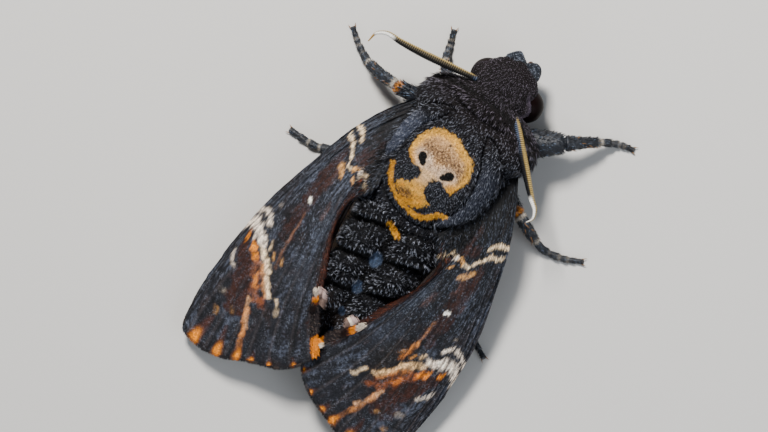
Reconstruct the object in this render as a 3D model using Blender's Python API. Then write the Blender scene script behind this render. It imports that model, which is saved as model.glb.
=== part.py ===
"""Death's head hawkmoth at rest, a still life-size model that stands on its feet.

Lengths are in millimetres in the moth's own frame until a mesh is made: x to the
moth's left, y towards the tail, z up from the floor, with the origin under the
middle of the skull mark. MID_X and MID_Y bring the middle of the whole outline
to x = y = 0. Every body piece is a loft of closed rings, every wing a thin sheet
over a patch between four named edges, and every leg a tapered tube along a path.
"""
import math

import bmesh
import bpy
import numpy as np

MM = 0.001
MID_X = 1.11
MID_Y = 13.34

GAP = 0.3
SHEET = 0.56
VEIN_RISE = 0.26
VEIN_HALF_WIDTH = 0.011

# Body profiles: y, half width, top and bottom of each station
HEAD = [(-21.9, 3.6, 9.4, 5.4), (-20.3, 4.6, 10.3, 4.6), (-18.2, 5.6, 11.2, 3.8),
        (-16.2, 5.8, 11.6, 3.3), (-14.0, 5.6, 11.8, 3.4), (-11.0, 6.6, 12.6, 3.6)]
THORAX = [(-13.5, 6.6, 12.2, 4.4), (-12.0, 8.2, 13.0, 3.8), (-9.5, 9.2, 14.4, 3.2),
          (-6.0, 9.5, 15.7, 2.8), (0.0, 9.8, 16.5, 2.6), (5.0, 9.3, 15.7, 2.8),
          (9.0, 8.6, 13.9, 3.1), (12.6, 7.6, 12.2, 3.6)]
ABDOMEN = [(10.0, 8.0, 11.8, 3.4), (14.0, 8.8, 12.0, 2.5), (19.0, 8.3, 11.6, 1.9),
           (24.0, 7.2, 10.6, 1.6), (29.0, 5.6, 9.0, 1.4), (33.5, 3.8, 7.0, 1.6),
           (37.6, 2.0, 5.4, 2.4)]
ABDOMEN_RINGS = 6
ABDOMEN_RING_RISE = 0.28

EYE_CENTRE = (4.1, -16.7, 6.3)
EYE_RADIUS = 2.75

PALP_PATH = [(1.9, -17.6, 3.4), (2.2, -20.6, 3.7), (2.15, -22.2, 5.5), (1.9, -22.5, 7.6)]
PALP_RADII = [1.1, 1.35, 1.3, 0.75]

COIL_CENTRE = (-20.3, 2.95)
COIL_START_RADIUS = 0.55
COIL_PITCH = 1.25
COIL_TURNS = 1.15
COIL_TUBE_RADIUS = 0.42

# Tegulae: patches on the thorax, between two stations of y and two angles
TEGULA_MIDDLE = (-1.4, 37.0)
TEGULA_HALF = (8.0, 25.0)
TEGULA_THICK = 0.85

# Antennae: the left one is stretched sideways, the right one lies back
ANTENNA_LEFT = [(3.6, -15.1, 8.8), (5.2, -14.8, 9.6), (9.5, -13.9, 10.6), (14.0, -13.0, 11.4),
                (17.9, -12.4, 11.9), (20.6, -12.1, 12.0), (21.9, -11.1, 11.9), (22.3, -9.2, 11.6)]
ANTENNA_RIGHT = [(3.6, -14.3, 8.8), (5.1, -13.4, 9.6), (8.4, -10.7, 10.6), (11.8, -7.9, 11.4),
                 (15.0, -5.3, 11.9), (16.8, -3.9, 12.0), (17.2, -2.8, 11.9), (16.6, -1.6, 11.6)]
ANTENNA_RADII = [0.42, 0.5, 0.58, 0.58, 0.5, 0.36, 0.27, 0.13]

# Forewings, x away from the middle: the edges of the patch from the root
FORE_LEFT = {
    "costa": [(9.3, -8.2, 8.7), (12.4, -3.6, 9.1), (15.5, 2.8, 8.5), (18.5, 12.2, 6.6),
              (20.8, 20.7, 5.1), (22.1, 31.0, 4.0)],
    "margin": [(22.1, 31.0, 4.0), (22.5, 38.3, 3.4), (22.2, 44.5, 2.9), (20.6, 49.7, 2.6),
               (17.3, 50.1, 3.2), (12.4, 48.9, 4.4), (8.9, 46.8, 5.4), (5.6, 45.1, 6.4),
               (2.6, 43.5, 7.4), (0.2, 40.9, 8.2), (-1.6, 37.0, 9.0)],
    "inner": [(6.4, 8.8, 12.1), (8.9, 13.4, 11.2), (8.1, 20.0, 10.5), (5.6, 25.5, 10.4),
              (3.6, 29.8, 10.3), (0.9, 34.0, 9.8), (-1.6, 37.0, 9.0)],
}
FORE_RIGHT = {
    "costa": [(9.3, -8.2, 8.7), (12.6, -3.4, 9.1), (15.6, 2.2, 8.5), (18.4, 10.6, 6.7),
              (21.0, 20.2, 5.1), (21.9, 30.4, 4.0)],
    "margin": [(21.9, 30.4, 4.0), (21.4, 37.3, 3.4), (20.6, 42.8, 2.9), (18.7, 47.4, 2.6),
               (15.6, 47.8, 3.2), (12.4, 47.0, 4.0), (8.9, 45.7, 4.9), (5.6, 44.6, 5.7),
               (2.7, 43.2, 6.4), (0.3, 41.0, 7.0), (-1.3, 37.0, 7.5)],
    "inner": [(6.4, 8.8, 12.1), (9.1, 12.4, 11.2), (8.5, 18.2, 10.4), (6.4, 24.0, 10.1),
              (4.3, 28.9, 9.5), (1.6, 33.2, 8.5), (-1.3, 37.0, 7.5)],
}
ROOT_EDGE = [(9.3, -8.2, 8.7), (8.6, -3.0, 9.6), (7.6, 3.0, 10.9), (6.4, 8.8, 12.1)]
FORE_CAMBER = 1.1
# Veins: place across the wing, where the vein starts and where it fades, root 0 to edge 1
FORE_VEINS = [(0.025, 0.02), (0.10, 0.34), (0.20, 0.45), (0.31, 0.03), (0.42, 0.58), (0.51, 0.42),
              (0.60, 0.43), (0.69, 0.42), (0.78, 0.36), (0.87, 0.03), (0.955, 0.06)]
FORE_CELL_END = 0.41
FORE_CELL_ACROSS = (0.31, 0.69)
FORE_ROWS = 15

# Hindwings lie under the forewings, in the forewing's own patch
HIND_DEPTH = SHEET + VEIN_RISE + GAP + 0.12
HIND_LEADING = [(0.10, 0.36), (0.34, 0.24), (0.60, 0.20)]
HIND_MARGIN = [(0.60, 0.20), (0.74, 0.36), (0.80, 0.55), (0.84, 0.72), (0.84, 0.86)]
HIND_INNER = [(0.10, 0.86), (0.36, 0.76), (0.62, 0.78), (0.84, 0.86)]
HIND_VEINS = [(0.06, 0.05), (0.19, 0.05), (0.32, 0.40), (0.45, 0.42), (0.57, 0.42), (0.69, 0.38),
              (0.82, 0.05), (0.95, 0.05)]
HIND_ROWS = 10

# Legs: path from inside the thorax to the claws, and the radius along it
LEGS = {
    "fore_left": ([(5.2, -9.6, 5.0), (9.4, -11.9, 5.4), (11.6, -13.2, 2.9), (12.7, -14.5, 1.0),
                   (13.5, -16.3, 0.2), (14.3, -18.2, 0.2)], 1.25, 0.8),
    "fore_right": ([(-5.4, -9.4, 5.0), (-12.9, -14.9, 5.2), (-16.9, -18.2, 2.4), (-18.4, -19.2, 1.0),
                    (-20.2, -20.0, 0.2), (-22.0, -20.5, 0.2)], 1.9, 0.95),
    "mid_left": ([(7.2, -5.4, 4.6), (15.2, -5.6, 6.0), (22.0, -5.3, 2.2), (23.6, -5.5, 1.0),
                  (26.2, -6.6, 0.2), (28.6, -8.2, 0.2)], 1.45, 0.9),
    "mid_right": ([(-7.2, -2.6, 4.6), (-13.8, -1.2, 6.0), (-18.0, 1.0, 2.2), (-19.6, 1.6, 1.0),
                   (-23.0, 1.0, 0.2), (-26.4, -0.8, 0.2)], 1.45, 0.9),
    "hind_left": ([(5.8, 3.0, 4.4), (11.8, 1.2, 4.6), (14.8, 6.6, 2.1), (16.3, 8.4, 1.0),
                   (21.0, 11.4, 0.2), (26.9, 12.1, 0.2)], 1.35, 0.85),
    "hind_right": ([(-5.8, 4.0, 4.4), (-11.6, 7.0, 4.4), (-14.2, 14.4, 2.0), (-15.8, 16.6, 1.0),
                    (-19.2, 20.4, 0.2), (-22.9, 22.2, 0.2)], 1.35, 0.85),
}
KNEE_RADIUS = 0.75
ANKLE_RADIUS = 0.52
CLAW_RADIUS = 0.25
LEG_SIDES = 8
JOINT_BEND = 0.8

BLACK_FUR = (0.022, 0.018, 0.021)
THORAX_FUR = (0.026, 0.022, 0.026)
BLUE_BLACK = (0.030, 0.036, 0.050)
WING_BROWN = (0.040, 0.032, 0.034)
HIND_YELLOW = (0.520, 0.260, 0.045)
EYE_BROWN = (0.030, 0.012, 0.010)
ANTENNA_OLIVE = (0.230, 0.180, 0.080)


def smooth_values(knots, values, at):
    """Cubic curve through the values, with each knot's slope taken from its neighbours."""
    knots = np.asarray(knots, float)
    values = np.asarray(values, float)
    at = np.clip(np.asarray(at, float), knots[0], knots[-1])
    slope = np.gradient(values, knots, axis=0)
    low = np.clip(np.searchsorted(knots, at, side="right") - 1, 0, len(knots) - 2)
    step = knots[low + 1] - knots[low]
    s = (at - knots[low]) / step
    if values.ndim > 1:
        s, step = s[:, None], step[:, None]
    return ((1 + 2 * s) * (1 - s) ** 2 * values[low] + s * (1 - s) ** 2 * step * slope[low]
            + s * s * (3 - 2 * s) * values[low + 1] - s * s * (1 - s) * step * slope[low + 1])


def curve(points, at):
    """Points of a smooth curve at fractions of its chord length."""
    points = np.asarray(points, float)
    chord = np.linalg.norm(np.diff(points, axis=0), axis=1)
    knots = np.concatenate([[0.0], np.cumsum(chord)]) / chord.sum()
    return smooth_values(knots, points, at)


def face_outward(mesh):
    """Turn every face of a closed mesh to look out of it."""
    work = bmesh.new()
    work.from_mesh(mesh)
    bmesh.ops.recalc_face_normals(work, faces=work.faces)
    work.to_mesh(mesh)
    work.free()
    mesh.update()


def make_object(name, points, faces, colour, roughness=0.8):
    """Mesh object from points in millimetres, with its own material."""
    mesh = bpy.data.meshes.new(name)
    placed = (np.asarray(points, float) - (MID_X, MID_Y, 0.0)) * MM
    mesh.from_pydata(placed.tolist(), [], faces)
    face_outward(mesh)
    mesh.shade_smooth()
    mesh.set_sharp_from_angle(angle=math.radians(40))
    material = bpy.data.materials.new(name + "_coat")
    material.use_nodes = True
    surface = material.node_tree.nodes["Principled BSDF"]
    surface.inputs["Base Color"].default_value = (*colour, 1.0)
    surface.inputs["Roughness"].default_value = roughness
    surface.inputs["Metallic"].default_value = 0.0
    mesh.materials.append(material)
    made = bpy.data.objects.new(name, mesh)
    bpy.context.collection.objects.link(made)
    return made


def ring_faces(rings, sides):
    """Side faces between rings of equal counts, in the order that faces them outward."""
    faces = []
    for r in range(rings - 1):
        for k in range(sides):
            n = (k + 1) % sides
            faces.append((r * sides + k, r * sides + n, (r + 1) * sides + n, (r + 1) * sides + k))
    return faces


def lofted(name, rings, colour, roughness=0.8, poles=None):
    """Closed surface over rings; poles close its ends in fans, or else flat caps do."""
    count, sides, _ = rings.shape
    points = rings.reshape(-1, 3)
    faces = ring_faces(count, sides)
    last = (count - 1) * sides
    if poles is None:
        faces.append(tuple(range(sides))[::-1])
        faces.append(tuple(range(last, last + sides)))
    else:
        points = np.vstack([points, poles])
        first_pole, last_pole = count * sides, count * sides + 1
        for k in range(sides):
            n = (k + 1) % sides
            faces.append((first_pole, n, k))
            faces.append((last_pole, last + k, last + n))
    return make_object(name, points, faces, colour, roughness)


def body_section(profile, y, angle, blunt=5.0, swell=None):
    """Points of a body at stations y and angles, a rounded box section closing at both ends."""
    table = np.array(profile, float)
    half, top, bottom = smooth_values(table[:, 0], table[:, 1:], y).T
    reach = 2 * (y - table[0, 0]) / (table[-1, 0] - table[0, 0]) - 1
    closing = np.sqrt(np.maximum(1 - np.abs(reach) ** blunt, 0.0))
    middle = bottom + 0.45 * (top - bottom)
    if swell is not None:
        half = half + swell
        top = top + swell
    c, s = np.cos(angle), np.sin(angle)
    x = (half * closing)[:, None] * np.sign(c) * np.abs(c) ** 0.92
    rise = np.where(s[None, :] > 0, (top - middle)[:, None], (middle - bottom)[:, None])
    z = middle[:, None] + closing[:, None] * rise * np.sign(s) * np.abs(s) ** 0.92
    return np.stack([x, np.broadcast_to(y[:, None], x.shape), z], -1)


def body(name, profile, sides, rows, colour, blunt=5.0, rings=0):
    """Body piece along y, with its rings closer together towards the rounded ends."""
    first, last = profile[0][0], profile[-1][0]
    turn = np.linspace(0.0, math.pi, rows + 2)[1:-1]
    y = first + (last - first) * (1 - np.cos(turn)) / 2
    if rings:
        y = np.linspace(first, last, rows + 2)[1:-1]
    swell = None
    if rings:
        phase = (y - first) / (last - first) * rings
        swell = ABDOMEN_RING_RISE * (2 * np.abs(np.sin(math.pi * phase)) - 1)
    angle = np.arange(sides) * 2 * math.pi / sides
    grid = body_section(profile, y, -angle, blunt, swell)
    ends = body_section(profile, np.array([first, last]), np.array([0.0]), blunt)[:, 0]
    return lofted(name, grid, colour, poles=ends * (0, 1, 1))


def frames(path, along=None):
    """Side and up directions across a path, level where the path runs level."""
    if along is None:
        along = np.gradient(path, axis=0)
    along = along / np.linalg.norm(along, axis=1)[:, None]
    side = np.cross(along, (0.0, 0.0, 1.0))
    side /= np.linalg.norm(side, axis=1)[:, None]
    return side, np.cross(side, along)


def tube_rings(path, radii, sides, along=None):
    """Rings of a tube; none dips under the floor, which makes the flats of the feet."""
    side, up = frames(path, along)
    angle = (np.arange(sides) + 0.5) * 2 * math.pi / sides
    across = side[:, None] * np.cos(angle)[None, :, None] + up[:, None] * np.sin(angle)[None, :, None]
    rings = path[:, None] + across * np.asarray(radii)[:, None, None]
    rings[..., 2] = np.maximum(rings[..., 2], 0.0)
    return rings


def sheet(name, upper, lower, colour):
    """Thin closed sheet between two grids, split into triangles alike on both faces."""
    rows, columns, _ = upper.shape
    offset = rows * columns
    at = np.arange(offset).reshape(rows, columns)
    a, b = at[:-1, :-1].ravel(), at[1:, :-1].ravel()
    c, d = at[1:, 1:].ravel(), at[:-1, 1:].ravel()
    over = np.concatenate([np.stack([a, b, c], 1), np.stack([a, c, d], 1)])
    under = over[:, ::-1] + offset
    rim = np.concatenate([at[:, 0], at[-1, 1:], at[-2::-1, -1], at[0, -2:0:-1]])
    following = np.roll(rim, -1)
    edge = np.concatenate([np.stack([rim, rim + offset, following + offset], 1),
                           np.stack([rim, following + offset, following], 1)])
    faces = np.concatenate([over, under, edge])
    points = np.concatenate([upper.reshape(-1, 3), lower.reshape(-1, 3)])
    return make_object(name, points, faces.tolist(), colour)


def grid_normals(grid):
    """Directions square to a grid of points, on the side that looks up."""
    across = np.cross(np.gradient(grid, axis=0), np.gradient(grid, axis=1))
    across /= np.linalg.norm(across, axis=2)[..., None]
    return across * np.sign(across[..., 2:3])


def patch(first, last, start, end, u, v):
    """Patch between four edges: u runs along the edges first and last, v across them."""
    u_column, v_row = u[:, None, None], v[None, :, None]
    along = (1 - v_row) * first[:, None] + v_row * last[:, None]
    across = (1 - u_column) * start[None] + u_column * end[None]
    corners = ((1 - u_column) * ((1 - v_row) * start[0] + v_row * start[-1])
               + u_column * ((1 - v_row) * end[0] + v_row * end[-1]))
    return along + across - corners


def vein_lines(veins):
    """Places of the grid lines across a wing: three for each vein and one at each edge."""
    lines = [0.0, 1.0]
    for place, _ in veins:
        lines += [place - VEIN_HALF_WIDTH, place, place + VEIN_HALF_WIDTH]
    return np.array(sorted(lines))


def ease(value):
    """Smooth step from 0 to 1."""
    value = np.clip(value, 0.0, 1.0)
    return value * value * (3 - 2 * value)


def vein_height(veins, u, v, cell_end=None, cell_across=(0.0, 0.0)):
    """Height of the veins above the membrane at each grid point."""
    height = np.zeros((len(u), len(v)))
    for place, start in veins:
        on_line = np.abs(v - place) < 1e-6
        height[:, on_line] = ease((u - start) / 0.05)[:, None] * (1 - 0.35 * u[:, None])
    if cell_end is not None:
        row = np.argmin(np.abs(u - cell_end))
        inside = (v >= cell_across[0]) & (v <= cell_across[1])
        height[row, inside] = np.maximum(height[row, inside], 0.8)
    return VEIN_RISE * height


def forewing_surface(shape, side, u, v):
    """Middle surface of a forewing at rows u and lines v, root 0 to outer edge 1."""
    mirror = np.array([side, 1.0, 1.0])
    costa = curve(shape["costa"], u) * mirror
    inner = curve(shape["inner"], u) * mirror
    root = curve(ROOT_EDGE, v ** 1.7) * mirror
    margin = curve(shape["margin"], v) * mirror
    grid = patch(costa, inner, root, margin, u, v)
    bulge = np.sin(math.pi * u ** 0.8)[:, None] * np.sin(math.pi * v ** 0.9)[None, :]
    grid[..., 2] += FORE_CAMBER * bulge
    return grid


def forewing(name, shape, side):
    u = np.linspace(0.0, 1.0, FORE_ROWS)
    v = vein_lines(FORE_VEINS)
    grid = forewing_surface(shape, side, u, v)
    normal = grid_normals(grid)
    rise = vein_height(FORE_VEINS, u, v, FORE_CELL_END, FORE_CELL_ACROSS)[..., None]
    upper = grid + normal * (SHEET / 2 + rise)
    lower = grid - normal * SHEET / 2
    if side > 0:
        return sheet(name, upper, lower, WING_BROWN)
    return sheet(name, upper[:, ::-1], lower[:, ::-1], WING_BROWN)


def hindwing(name, shape, side):
    """Hindwing: a patch drawn on the forewing's surface and let down under it."""
    fine = np.linspace(0.0, 1.0, 61)
    under = forewing_surface(shape, side, fine, fine)
    under = under - grid_normals(under) * HIND_DEPTH
    u = np.linspace(0.0, 1.0, HIND_ROWS)
    v = vein_lines(HIND_VEINS)
    root = np.stack([np.full(len(v), 0.10), 0.36 + 0.50 * v], 1)
    place = patch(curve(HIND_LEADING, u), curve(HIND_INNER, u), root, curve(HIND_MARGIN, v), u, v)
    row = np.clip(place[..., 0], 0.0, 1.0) * 60
    column = np.clip(place[..., 1], 0.0, 1.0) * 60
    r, c = np.minimum(row.astype(int), 59), np.minimum(column.astype(int), 59)
    a, b = (row - r)[..., None], (column - c)[..., None]
    grid = ((1 - a) * (1 - b) * under[r, c] + a * (1 - b) * under[r + 1, c]
            + (1 - a) * b * under[r, c + 1] + a * b * under[r + 1, c + 1])
    normal = grid_normals(grid)
    rise = vein_height(HIND_VEINS, u, v)[..., None]
    upper = grid + normal * SHEET / 2
    lower = grid - normal * (SHEET / 2 + rise)
    if side > 0:
        return sheet(name, upper, lower, HIND_YELLOW)
    return sheet(name, upper[:, ::-1], lower[:, ::-1], HIND_YELLOW)


def tegula(name, side, grow=0.0):
    """Shoulder plate: a rounded patch of the thorax's shape, lifted off it and thin at its rim."""
    turns, reach = 16, np.linspace(0.0, 1.0, 5)[1:]
    turn = np.arange(turns) * 2 * math.pi / turns
    points = []
    for lift, part in ((GAP + TEGULA_THICK, reach), (GAP, reach[::-1])):
        for r in part:
            edge = r * (1 + grow)
            y = TEGULA_MIDDLE[0] + TEGULA_HALF[0] * edge * np.cos(turn)
            angle = TEGULA_MIDDLE[1] + TEGULA_HALF[1] * edge * np.sin(turn)
            thin = 1 - 0.72 * r ** 4 if lift > GAP else 1.0
            points.append((y, angle, np.full(turns, GAP + (lift - GAP) * thin if lift > GAP else lift)))
    rings = np.array([thorax_offset(y, np.radians(a), h) for y, a, h in points])
    middle_y, middle_angle = np.array([TEGULA_MIDDLE[0]]), np.radians([TEGULA_MIDDLE[1]])
    poles = np.vstack([thorax_offset(middle_y, middle_angle, GAP + TEGULA_THICK),
                       thorax_offset(middle_y, middle_angle, GAP)])
    if side < 0:
        rings = rings[:, ::-1] * (-1, 1, 1)
        poles = poles * (-1, 1, 1)
    return lofted(name, rings, BLUE_BLACK, poles=poles)


def thorax_offset(y, angle, height):
    """Points at a height over the thorax's own surface."""
    step = 0.02
    here = np.array([body_section(THORAX, np.array([a]), np.array([b]))[0, 0] for a, b in zip(y, angle)])
    ahead = np.array([body_section(THORAX, np.array([a + step]), np.array([b]))[0, 0]
                      for a, b in zip(y, angle)])
    turned = np.array([body_section(THORAX, np.array([a]), np.array([b + step]))[0, 0]
                       for a, b in zip(y, angle)])
    out = np.cross(turned - here, ahead - here)
    out /= np.linalg.norm(out, axis=1)[:, None]
    out *= np.sign(np.sum(out * (here - (0, 0, 8.0)), axis=1))[:, None]
    return here + out * np.reshape(height, (-1, 1))


def grown(made, distance=GAP):
    """Cutter: a copy of an object with its surface moved outward."""
    mesh = made.data.copy()
    places = np.array([v.co + v.normal * distance * MM for v in mesh.vertices])
    mesh.vertices.foreach_set("co", places.astype(np.float32).ravel())
    cutter = bpy.data.objects.new(made.name + "_cutter", mesh)
    cutter.hide_render = True
    cutter.display_type = "WIRE"
    bpy.context.collection.objects.link(cutter)
    return cutter


def largest_body(mesh):
    """Faces of the largest closed surface of a mesh, and the points they use."""
    parent = np.arange(len(mesh.vertices))

    def root(i):
        while parent[i] != i:
            parent[i] = parent[parent[i]]
            i = parent[i]
        return i

    for edge in mesh.edges:
        a, b = root(edge.vertices[0]), root(edge.vertices[1])
        parent[a] = b
    roots = np.array([root(i) for i in range(len(parent))])
    kept = np.bincount(roots).argmax()
    used = np.flatnonzero(roots == kept)
    number = {int(old): new for new, old in enumerate(used)}
    faces = [[number[v] for v in p.vertices] for p in mesh.polygons if roots[p.vertices[0]] == kept]
    return [mesh.vertices[int(i)].co.copy() for i in used], faces


def cut_by(made, *cutters):
    """Take the cutters away from an object and keep its largest closed surface."""
    for cutter in cutters:
        modifier = made.modifiers.new("Cut", "BOOLEAN")
        modifier.operation = "DIFFERENCE"
        modifier.solver = "EXACT"
        modifier.object = cutter
    depsgraph = bpy.context.evaluated_depsgraph_get()
    depsgraph.update()
    result = bpy.data.meshes.new_from_object(made.evaluated_get(depsgraph))
    points, faces = largest_body(result)
    made.modifiers.clear()
    old = made.data
    mesh = bpy.data.meshes.new(made.name)
    mesh.from_pydata(points, [], faces)
    mesh.materials.append(old.materials[0])
    mesh.shade_smooth()
    mesh.set_sharp_from_angle(angle=math.radians(40))
    made.data = mesh


def head_pieces(neck):
    """Head, eyes, palps, proboscis and antennae."""
    head = body("head", HEAD, 20, 11, BLACK_FUR, blunt=3.4)
    eyes = []
    for side, word in ((1, "left"), (-1, "right")):
        polar = np.linspace(0.0, math.pi, 9)[1:-1]
        turn = -np.arange(14) * 2 * math.pi / 14
        ring = np.stack([np.sin(polar)[:, None] * np.cos(turn), -np.cos(polar)[:, None] * np.ones(14),
                         np.sin(polar)[:, None] * np.sin(turn)], -1)
        centre = np.array(EYE_CENTRE) * (side, 1, 1)
        poles = centre + np.array([(0, -EYE_RADIUS, 0), (0, EYE_RADIUS, 0)])
        eyes.append(lofted("eye_" + word, centre + EYE_RADIUS * ring, EYE_BROWN, 0.12, poles))
    cut_by(head, neck, *[grown(eye) for eye in eyes])
    skull = grown(head)
    for side, word, path in ((1, "left", ANTENNA_LEFT), (-1, "right", ANTENNA_RIGHT)):
        at = np.linspace(0.0, 1.0, 7)
        palp_path = curve(np.array(PALP_PATH) * (side, 1, 1), at)
        palp = lofted("palp_" + word, tube_rings(palp_path, curve_values(PALP_RADII, at), 8), BLUE_BLACK)
        cut_by(palp, skull)
        along = np.linspace(0.0, 1.0, 20)
        feeler_path = curve(np.array(path) * (side, 1, 1), along)
        rings = tube_rings(feeler_path, curve_values(ANTENNA_RADII, along), 8)
        feeler = lofted("antenna_" + word, rings, ANTENNA_OLIVE, 0.5)
        cut_by(feeler, skull, neck)
    coil = proboscis()
    cut_by(coil, skull)


def curve_values(values, at):
    """Values of a smooth rule whose knots are evenly spaced."""
    return smooth_values(np.linspace(0.0, 1.0, len(values)), values, at)


def proboscis():
    """Coiled tongue in the middle plane, from the mouth down and round between the palps."""
    turn = np.linspace(0.0, COIL_TURNS, 20)
    radius = COIL_START_RADIUS + COIL_PITCH * turn
    angle = 2 * math.pi * turn - 1.0
    y = COIL_CENTRE[0] + radius * np.cos(angle)
    z = COIL_CENTRE[1] + radius * np.sin(angle)
    path = np.stack([np.zeros_like(y), y, z], 1)
    along = np.gradient(path, axis=0)
    along /= np.linalg.norm(along, axis=1)[:, None]
    side = np.array([1.0, 0.0, 0.0])
    up = np.cross(side, along)
    ring = (np.arange(6) + 0.5) * 2 * math.pi / 6
    thick = COIL_TUBE_RADIUS * np.linspace(0.6, 1.0, len(path))
    rings = path[:, None] + thick[:, None, None] * (np.cos(ring)[None, :, None] * side
                                                   + np.sin(ring)[None, :, None] * up[:, None])
    return lofted("proboscis", rings, (0.05, 0.03, 0.02), 0.4)


def leg(name, path, thigh, shin, torso):
    """One leg in three nodes, parted at the knee and the ankle by a thin cut across it."""
    points = np.array(path, float)
    chord = np.linalg.norm(np.diff(points, axis=0), axis=1)
    knots = np.concatenate([[0.0], np.cumsum(chord)])
    knee, ankle, end = knots[1], knots[2], knots[-1]
    radius_knots = [0.0, 0.5 * knee, 0.9 * knee, knee + 0.25 * (ankle - knee), ankle - 0.5,
                    ankle + 0.8, 0.5 * (ankle + end), end]
    radius_values = [thigh, thigh, KNEE_RADIUS + 0.25, shin, ANKLE_RADIUS + 0.12, ANKLE_RADIUS,
                     0.42, CLAW_RADIUS]
    parts = (("femur", 0.0, knee - GAP / 2, 7), ("tibia", knee + GAP / 2, ankle - GAP / 2, 7),
             ("tarsus", ankle + GAP / 2, end, 9))
    for word, start, stop, rows in parts:
        at = np.linspace(start, stop, rows)
        centre = smooth_values(knots, points, at)
        ahead = smooth_values(knots, points, at + JOINT_BEND)
        behind = smooth_values(knots, points, at - JOINT_BEND)
        radii = smooth_values(radius_knots, radius_values, at)
        centre[:, 2] = np.maximum(centre[:, 2], 0.86 * radii)
        rings = tube_rings(centre, radii, LEG_SIDES, ahead - behind)
        made = lofted(f"leg_{name}_{word}", rings, BLUE_BLACK)
        if word == "femur":
            cut_by(made, torso)


def build_moth():
    for old in list(bpy.data.objects):
        bpy.data.objects.remove(old, do_unlink=True)
    thorax = body("thorax", THORAX, 28, 16, THORAX_FUR)
    torso = grown(thorax)
    head_pieces(torso)
    abdomen = body("abdomen", ABDOMEN, 22, 23, BLACK_FUR, blunt=6.0, rings=ABDOMEN_RINGS)
    cut_by(abdomen, torso)
    tail = grown(abdomen)
    for side, word, shape in ((1, "left", FORE_LEFT), (-1, "right", FORE_RIGHT)):
        plate = tegula("tegula_" + word, side)
        cut_by(forewing("forewing_" + word, shape, side), torso, grown(plate))
        cut_by(hindwing("hindwing_" + word, shape, side), torso, tail)
    for name, (path, thigh, shin) in LEGS.items():
        leg(name, path, thigh, shin, torso)
    for made in list(bpy.data.objects):
        if made.hide_render:
            bpy.data.objects.remove(made, do_unlink=True)


build_moth()
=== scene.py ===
"""Death's head hawkmoth at rest: furred body, scaled wings, eyes, feelers and legs.

Lengths are millimetres in the moth's own frame (x to its left, y towards the tail,
z up from the floor, origin under the middle of the skull mark) until a mesh is made.
Colours are linear. Markings are worked out by formulas at each point and kept in the
attribute "tint", so skin and coat carry the same pattern.
"""
import math

import bpy
import numpy as np
from mathutils import Matrix, Vector


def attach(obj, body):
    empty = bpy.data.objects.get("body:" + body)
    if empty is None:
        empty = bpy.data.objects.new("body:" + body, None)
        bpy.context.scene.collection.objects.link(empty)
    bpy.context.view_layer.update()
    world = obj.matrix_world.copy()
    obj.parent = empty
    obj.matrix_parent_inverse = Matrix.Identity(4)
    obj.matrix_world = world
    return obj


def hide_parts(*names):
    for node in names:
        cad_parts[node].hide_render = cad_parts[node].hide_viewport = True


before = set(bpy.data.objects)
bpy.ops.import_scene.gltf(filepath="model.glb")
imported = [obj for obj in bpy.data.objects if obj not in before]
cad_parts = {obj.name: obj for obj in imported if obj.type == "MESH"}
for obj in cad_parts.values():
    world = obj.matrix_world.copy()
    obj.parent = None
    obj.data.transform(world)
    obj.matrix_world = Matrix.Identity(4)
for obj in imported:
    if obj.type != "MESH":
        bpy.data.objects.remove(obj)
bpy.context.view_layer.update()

MM = 0.001
MIDDLE = np.array([1.11, 13.34, 0.0])  # the frame's origin, in the moth's own frame
FULL = 2 * math.pi
rng = np.random.default_rng(11)


# Curves, noise and colours

def smooth_values(knots, values, at):
    """Cubic curve through the values, each knot's slope taken from its neighbours."""
    knots = np.asarray(knots, float)
    values = np.asarray(values, float)
    at = np.clip(np.asarray(at, float), knots[0], knots[-1])
    slope = np.gradient(values, knots, axis=0)
    low = np.clip(np.searchsorted(knots, at, side="right") - 1, 0, len(knots) - 2)
    step = knots[low + 1] - knots[low]
    share = (at - knots[low]) / step
    if values.ndim > 1:
        share, step = share[..., None], step[..., None]
    left = 1 - share
    return ((1 + 2 * share) * left ** 2 * values[low] + share * left ** 2 * step * slope[low]
            + share * share * (3 - 2 * share) * values[low + 1]
            - share * share * left * step * slope[low + 1])


def curve(points, at):
    """Points of the smooth curve through some points, at fractions of their chord length."""
    points = np.asarray(points, float)
    chord = np.linalg.norm(np.diff(points, axis=0), axis=1)
    knots = np.concatenate([[0.0], np.cumsum(chord)]) / chord.sum()
    return smooth_values(knots, points, at)


def along_values(values, at):
    """Values of a smooth rule whose knots are evenly spaced from 0 to 1."""
    return smooth_values(np.linspace(0.0, 1.0, len(values)), values, at)


def ease(value, low=0.0, high=1.0):
    """Smooth step that is 0 up to low and 1 from high: three squares less two cubes between."""
    value = np.clip((value - low) / (high - low), 0.0, 1.0)
    return value * value * (3 - 2 * value)


def hump(value, middle, half):
    """1 at the middle, falling to 0 at half away from it by the smooth step."""
    return ease(1 - np.abs(value - middle) / half)


# Waves in the noise, and the height that their sum seldom passes
WAVES, WAVE_REACH = 14, 5.2


def wave_noise(x, y, size, seed):
    """Soft noise from -1 to 1: a sum of sine waves in scattered directions, about size long."""
    draw = np.random.default_rng(seed)
    total = np.zeros(np.broadcast(x, y).shape)
    for _ in range(WAVES):
        turn = draw.uniform(0, FULL)
        length = size * draw.uniform(0.6, 1.7)
        shift = draw.uniform(0, FULL)
        total += np.sin(FULL * (x * math.cos(turn) + y * math.sin(turn)) / length + shift)
    return np.clip(total / WAVE_REACH, -1, 1)


def hue(red, green, blue):
    """Linear colour from the 0 to 255 values a screen shows."""
    part = np.array([red, green, blue], float) / 255
    return np.where(part < 0.04, part / 12.92, ((part + 0.055) / 1.055) ** 2.4)


def plain(colour, values):
    """One colour for each of the values."""
    return np.broadcast_to(colour, np.shape(values) + (3,))


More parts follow.
